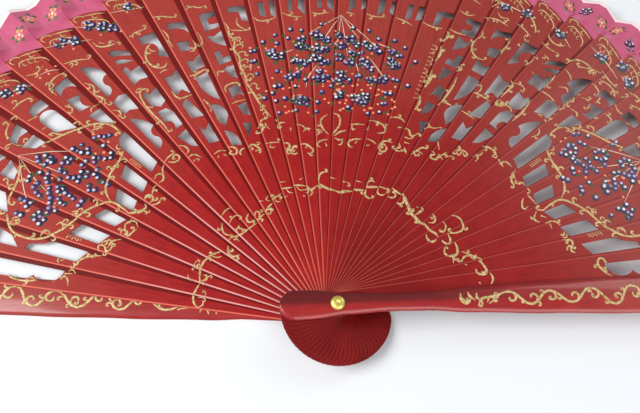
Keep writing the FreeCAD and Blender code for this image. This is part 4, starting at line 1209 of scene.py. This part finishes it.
# Plain cotton, woven 0.25 mm apart and drawn at 0.6 mm so that it shows: a soft, slightly
# uneven rose with no gloss and a little fuzz
rose_cloth, shader = new_material("rose_cotton", 0.85, Sheen_Weight=0.25)
cloth_map = node(rose_cloth, "ShaderNodeUVMap", {"uv_map": "cloth"})
warp = node(
    rose_cloth, "ShaderNodeTexWave", {"bands_direction": "X", "Scale": 520, "Distortion": 0.6},
    {"Vector": cloth_map.outputs[0]})
weft = node(
    rose_cloth, "ShaderNodeTexWave", {"bands_direction": "Y", "Scale": 520, "Distortion": 0.6},
    {"Vector": cloth_map.outputs[0]})
weave = node(
    rose_cloth, "ShaderNodeMath", {"operation": "MULTIPLY"},
    {0: warp.outputs["Fac"], 1: weft.outputs["Fac"]})
where = node(rose_cloth, "ShaderNodeTexCoord")
faded = node(
    rose_cloth, "ShaderNodeTexNoise", {"Scale": 120, "Detail": 3}, {"Vector": where.outputs["Object"]})
rose = node(
    rose_cloth, "ShaderNodeMix", {"data_type": "RGBA", 6: linear("C8406E"), 7: linear("E06E92")},
    {0: faded.outputs[0]})
thread = node(
    rose_cloth, "ShaderNodeMix", {"data_type": "RGBA", "blend_type": "MULTIPLY", 0: 0.25},
    {6: rose.outputs[2], 7: weave.outputs[0]})
rose_cloth.node_tree.links.new(thread.outputs[2], shader.inputs["Base Color"])
cloth_bump = node(
    rose_cloth, "ShaderNodeBump", {"Strength": 0.3, "Distance": 0.05 * MM}, {"Height": weave.outputs[0]})
rose_cloth.node_tree.links.new(cloth_bump.outputs[0], shader.inputs["Normal"])

# Satin ribbon: pale pink to white, with a fine beige-gold line along its outer side
ribbon, shader = new_material("satin_edging", 0.45, Sheen_Weight=0.3)
ribbon_map = node(ribbon, "ShaderNodeUVMap", {"uv_map": "cloth"})
ribbon_split = node(ribbon, "ShaderNodeSeparateXYZ", links={0: ribbon_map.outputs[0]})
rib = node(
    ribbon, "ShaderNodeTexWave", {"bands_direction": "X", "Scale": 700},
    {"Vector": ribbon_map.outputs[0]})
satin = node(
    ribbon, "ShaderNodeMix", {"data_type": "RGBA", 6: linear("F2C9D2"), 7: linear("FBF1EE")},
    {0: rib.outputs["Fac"]})
outer_beige_line = node(
    ribbon, "ShaderNodeMapRange", {"From Min": 0.2075, "From Max": 0.2077}, {0: ribbon_split.outputs[1]})
ribbon_colour = node(
    ribbon, "ShaderNodeMix", {"data_type": "RGBA", 7: linear("D9BE8C")},
    {0: outer_beige_line.outputs[0], 6: satin.outputs[2]})
ribbon.node_tree.links.new(ribbon_colour.outputs[2], shader.inputs["Base Color"])


def panel_mesh(number, columns, rows, inner, outer, lift):
    """A grid over one panel: columns across from blade to blade, rows outward."""
    work = bmesh.new()
    bmesh.ops.create_grid(work, x_segments=columns, y_segments=rows, size=1)
    cloth = work.loops.layers.uv.new("cloth")
    for vert in work.verts:
        t, out = (vert.co.x + 1) / 2, (vert.co.y + 1) / 2
        low = inner(t)
        r = low + (outer - low) * out
        vert.co = leaf_point(number, t, r, lift)
    for face in work.faces:
        for loop in face.loops:
            at = loop.vert.co
            angle = math.atan2(at.y, at.x)
            loop[cloth].uv = (-angle * LEAF_MIDDLE * MM, at.xy.length)
    return work


def leaf_inner(t):
    """Radius of a panel's lower edge, which steps where the next stick begins."""
    return shoulder(t + 1 - LEFT_SHARE) if t < LEFT_SHARE else shoulder(t - LEFT_SHARE)


for number in range(LAST_BLADE):
    work = panel_mesh(number, PANEL_COLUMNS, PANEL_ROWS, leaf_inner, LEAF_RADIUS, 0)
    panel = place_piece(f"leaf_panel_{number:02d}", work, [rose_cloth])
    bend_panel(panel, number)
    # The doubled ribbon is folded over the raw outer edge and glued
    work = panel_mesh(number, PANEL_COLUMNS, 2, lambda t: EDGING_INNER, EDGING_OUTER, EDGING_LIFT)
    bmesh.ops.solidify(work, geom=work.faces[:], thickness=EDGING_THICKNESS * MM)
    bmesh.ops.recalc_face_normals(work, faces=work.faces)
    edging = place_piece(f"edging_{number:02d}", work, [ribbon])
    bend_panel(edging, number)
    if number == 0:
        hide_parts("leaf")
        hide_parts("leaf_edging")

# Small flowers painted along the leaf: five orange petals round a cream eye, over green leaves,
# on the left of the fan, and mostly bunches of navy berries on the right
FIFTHS = [i * 1.257 for i in range(5)]         # turns of a fifth of a circle each
for number in range(LAST_BLADE):
    draw = random.Random(700 + number)
    work = empty_paint()
    for t, r in ((0.27, 196.5 + draw.uniform(-1.5, 1.5)), (0.74, 199.5 + draw.uniform(-1.5, 1.5))):
        k = number + t
        if number < 15 or draw.random() < 0.3:
            leaf_places = [moved(k, r, 2.9 * math.cos(a), 2.9 * math.sin(a))
                           for a in (0.3, 1.2, 2.6, 3.5, 4.6)]
            dabbed(work, leaf_places, 0.9, DAB_HEIGHT, GREEN)
            petals = [moved(k, r, 1.75 * math.cos(a), 1.75 * math.sin(a)) for a in FIFTHS]
            dabbed(work, petals, 0.8, DAB_HEIGHT * 1.3, ORANGE)
            dabbed(work, [(k, r)], 0.7, DAB_HEIGHT * 1.5, CREAM)
        else:
            bunch = [moved(k, r, BERRY_SPACING * math.cos(a), BERRY_SPACING * math.sin(a))
                     for a in FIFTHS] + [(k, r)]
            dabbed(work, [(k + 0.1, r - 2), (k - 0.1, r + 2.2)], 0.8, DAB_HEIGHT, GREEN)
            dabbed(work, bunch, 1.15, DAB_HEIGHT * 1.3, NAVY)
    for vert in work.verts:
        t = (math.pi / 2 - math.atan2(vert.co.y, vert.co.x)) / PITCH + LAST_BLADE / 2 - number
        r = vert.co.xy.length / MM
        vert.co.z += (leaf_height(number, min(1, max(0, t)), r) + 0.01) * MM
    flowers = place_piece(f"leaf_flowers_{number:02d}", work, PAINTS)
    bend_panel(flowers, number)


# ---- Rivet and washer -------------------------------------------------------------------
# The pin that every blade turns on: turned brass, with a flat-domed head, a pricked centre
# and a rounded rim in front, and a thin washer that it is clenched over behind.
RIVET_SEAT = 17.285 * MM                       # the front guard's face, which the head sits on
# Profiles, as (radius, height) in mm
HEAD_PROFILE = [(0.0, 0.75), (0.45, 0.78), (0.72, 1.05), (0.95, 1.1), (1.75, 0.98), (2.3, 0.74),
                (2.62, 0.44), (2.75, 0.12), (2.7, 0.0), (0.9, -0.02), (0.9, -17.0), (0.0, -17.0)]
WASHER_PROFILE = [(0.0, 0.5), (2.5, 0.5), (2.6, 0.4), (2.6, 0.12), (2.45, 0.04), (1.5, 0.02),
                  (1.1, -0.02), (0.0, -0.04)]


def turned(profile, seat):
    """A solid turned about the rivet's axis from its profile (radius, height) in mm."""
    work = bmesh.new()
    ring = [work.verts.new((radius * MM, 0, seat + height * MM)) for radius, height in profile]
    edges = [work.edges.new(pair) for pair in zip(ring, ring[1:])]
    bmesh.ops.spin(work, geom=ring + edges, cent=(0, 0, 0), axis=(0, 0, 1), angle=math.tau, steps=40,
                   use_merge=True)
    bmesh.ops.remove_doubles(work, verts=work.verts, dist=0.005 * MM)
    bmesh.ops.recalc_face_normals(work, faces=work.faces)
    return work


# Brass turned on a lathe and handled: bright yellow, with fine rings 0.12 mm apart drawn at
# 0.3 mm, and dull brown tarnish in the low places
brass, shader = new_material("turned_brass", 0.4, Metallic=0.85)
where = node(brass, "ShaderNodeTexCoord")
rings = node(
    brass, "ShaderNodeTexWave",
    {"wave_type": "RINGS", "rings_direction": "Z", "Scale": 900, "Distortion": 0.4},
    {"Vector": where.outputs["Object"]})
tarnish = node(
    brass, "ShaderNodeTexNoise", {"Scale": 350, "Detail": 2}, {"Vector": where.outputs["Object"]})
metal = node(
    brass, "ShaderNodeMix", {"data_type": "RGBA", 6: linear("FBEB88"), 7: linear("E6CB62")},
    {0: tarnish.outputs[0]})
brass.node_tree.links.new(metal.outputs[2], shader.inputs["Base Color"])
lathe = node(
    brass, "ShaderNodeBump", {"Strength": 0.15, "Distance": 0.02 * MM}, {"Height": rings.outputs["Fac"]})
brass.node_tree.links.new(lathe.outputs[0], shader.inputs["Normal"])
for name, node_name, profile, seat in (("brass_rivet", "rivet", HEAD_PROFILE, RIVET_SEAT),
                                       ("brass_washer", "rear_washer", WASHER_PROFILE, 0)):
    piece = place_piece(name, turned(profile, seat), [brass], smooth=True)
    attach(piece, "base")
    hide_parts(node_name)
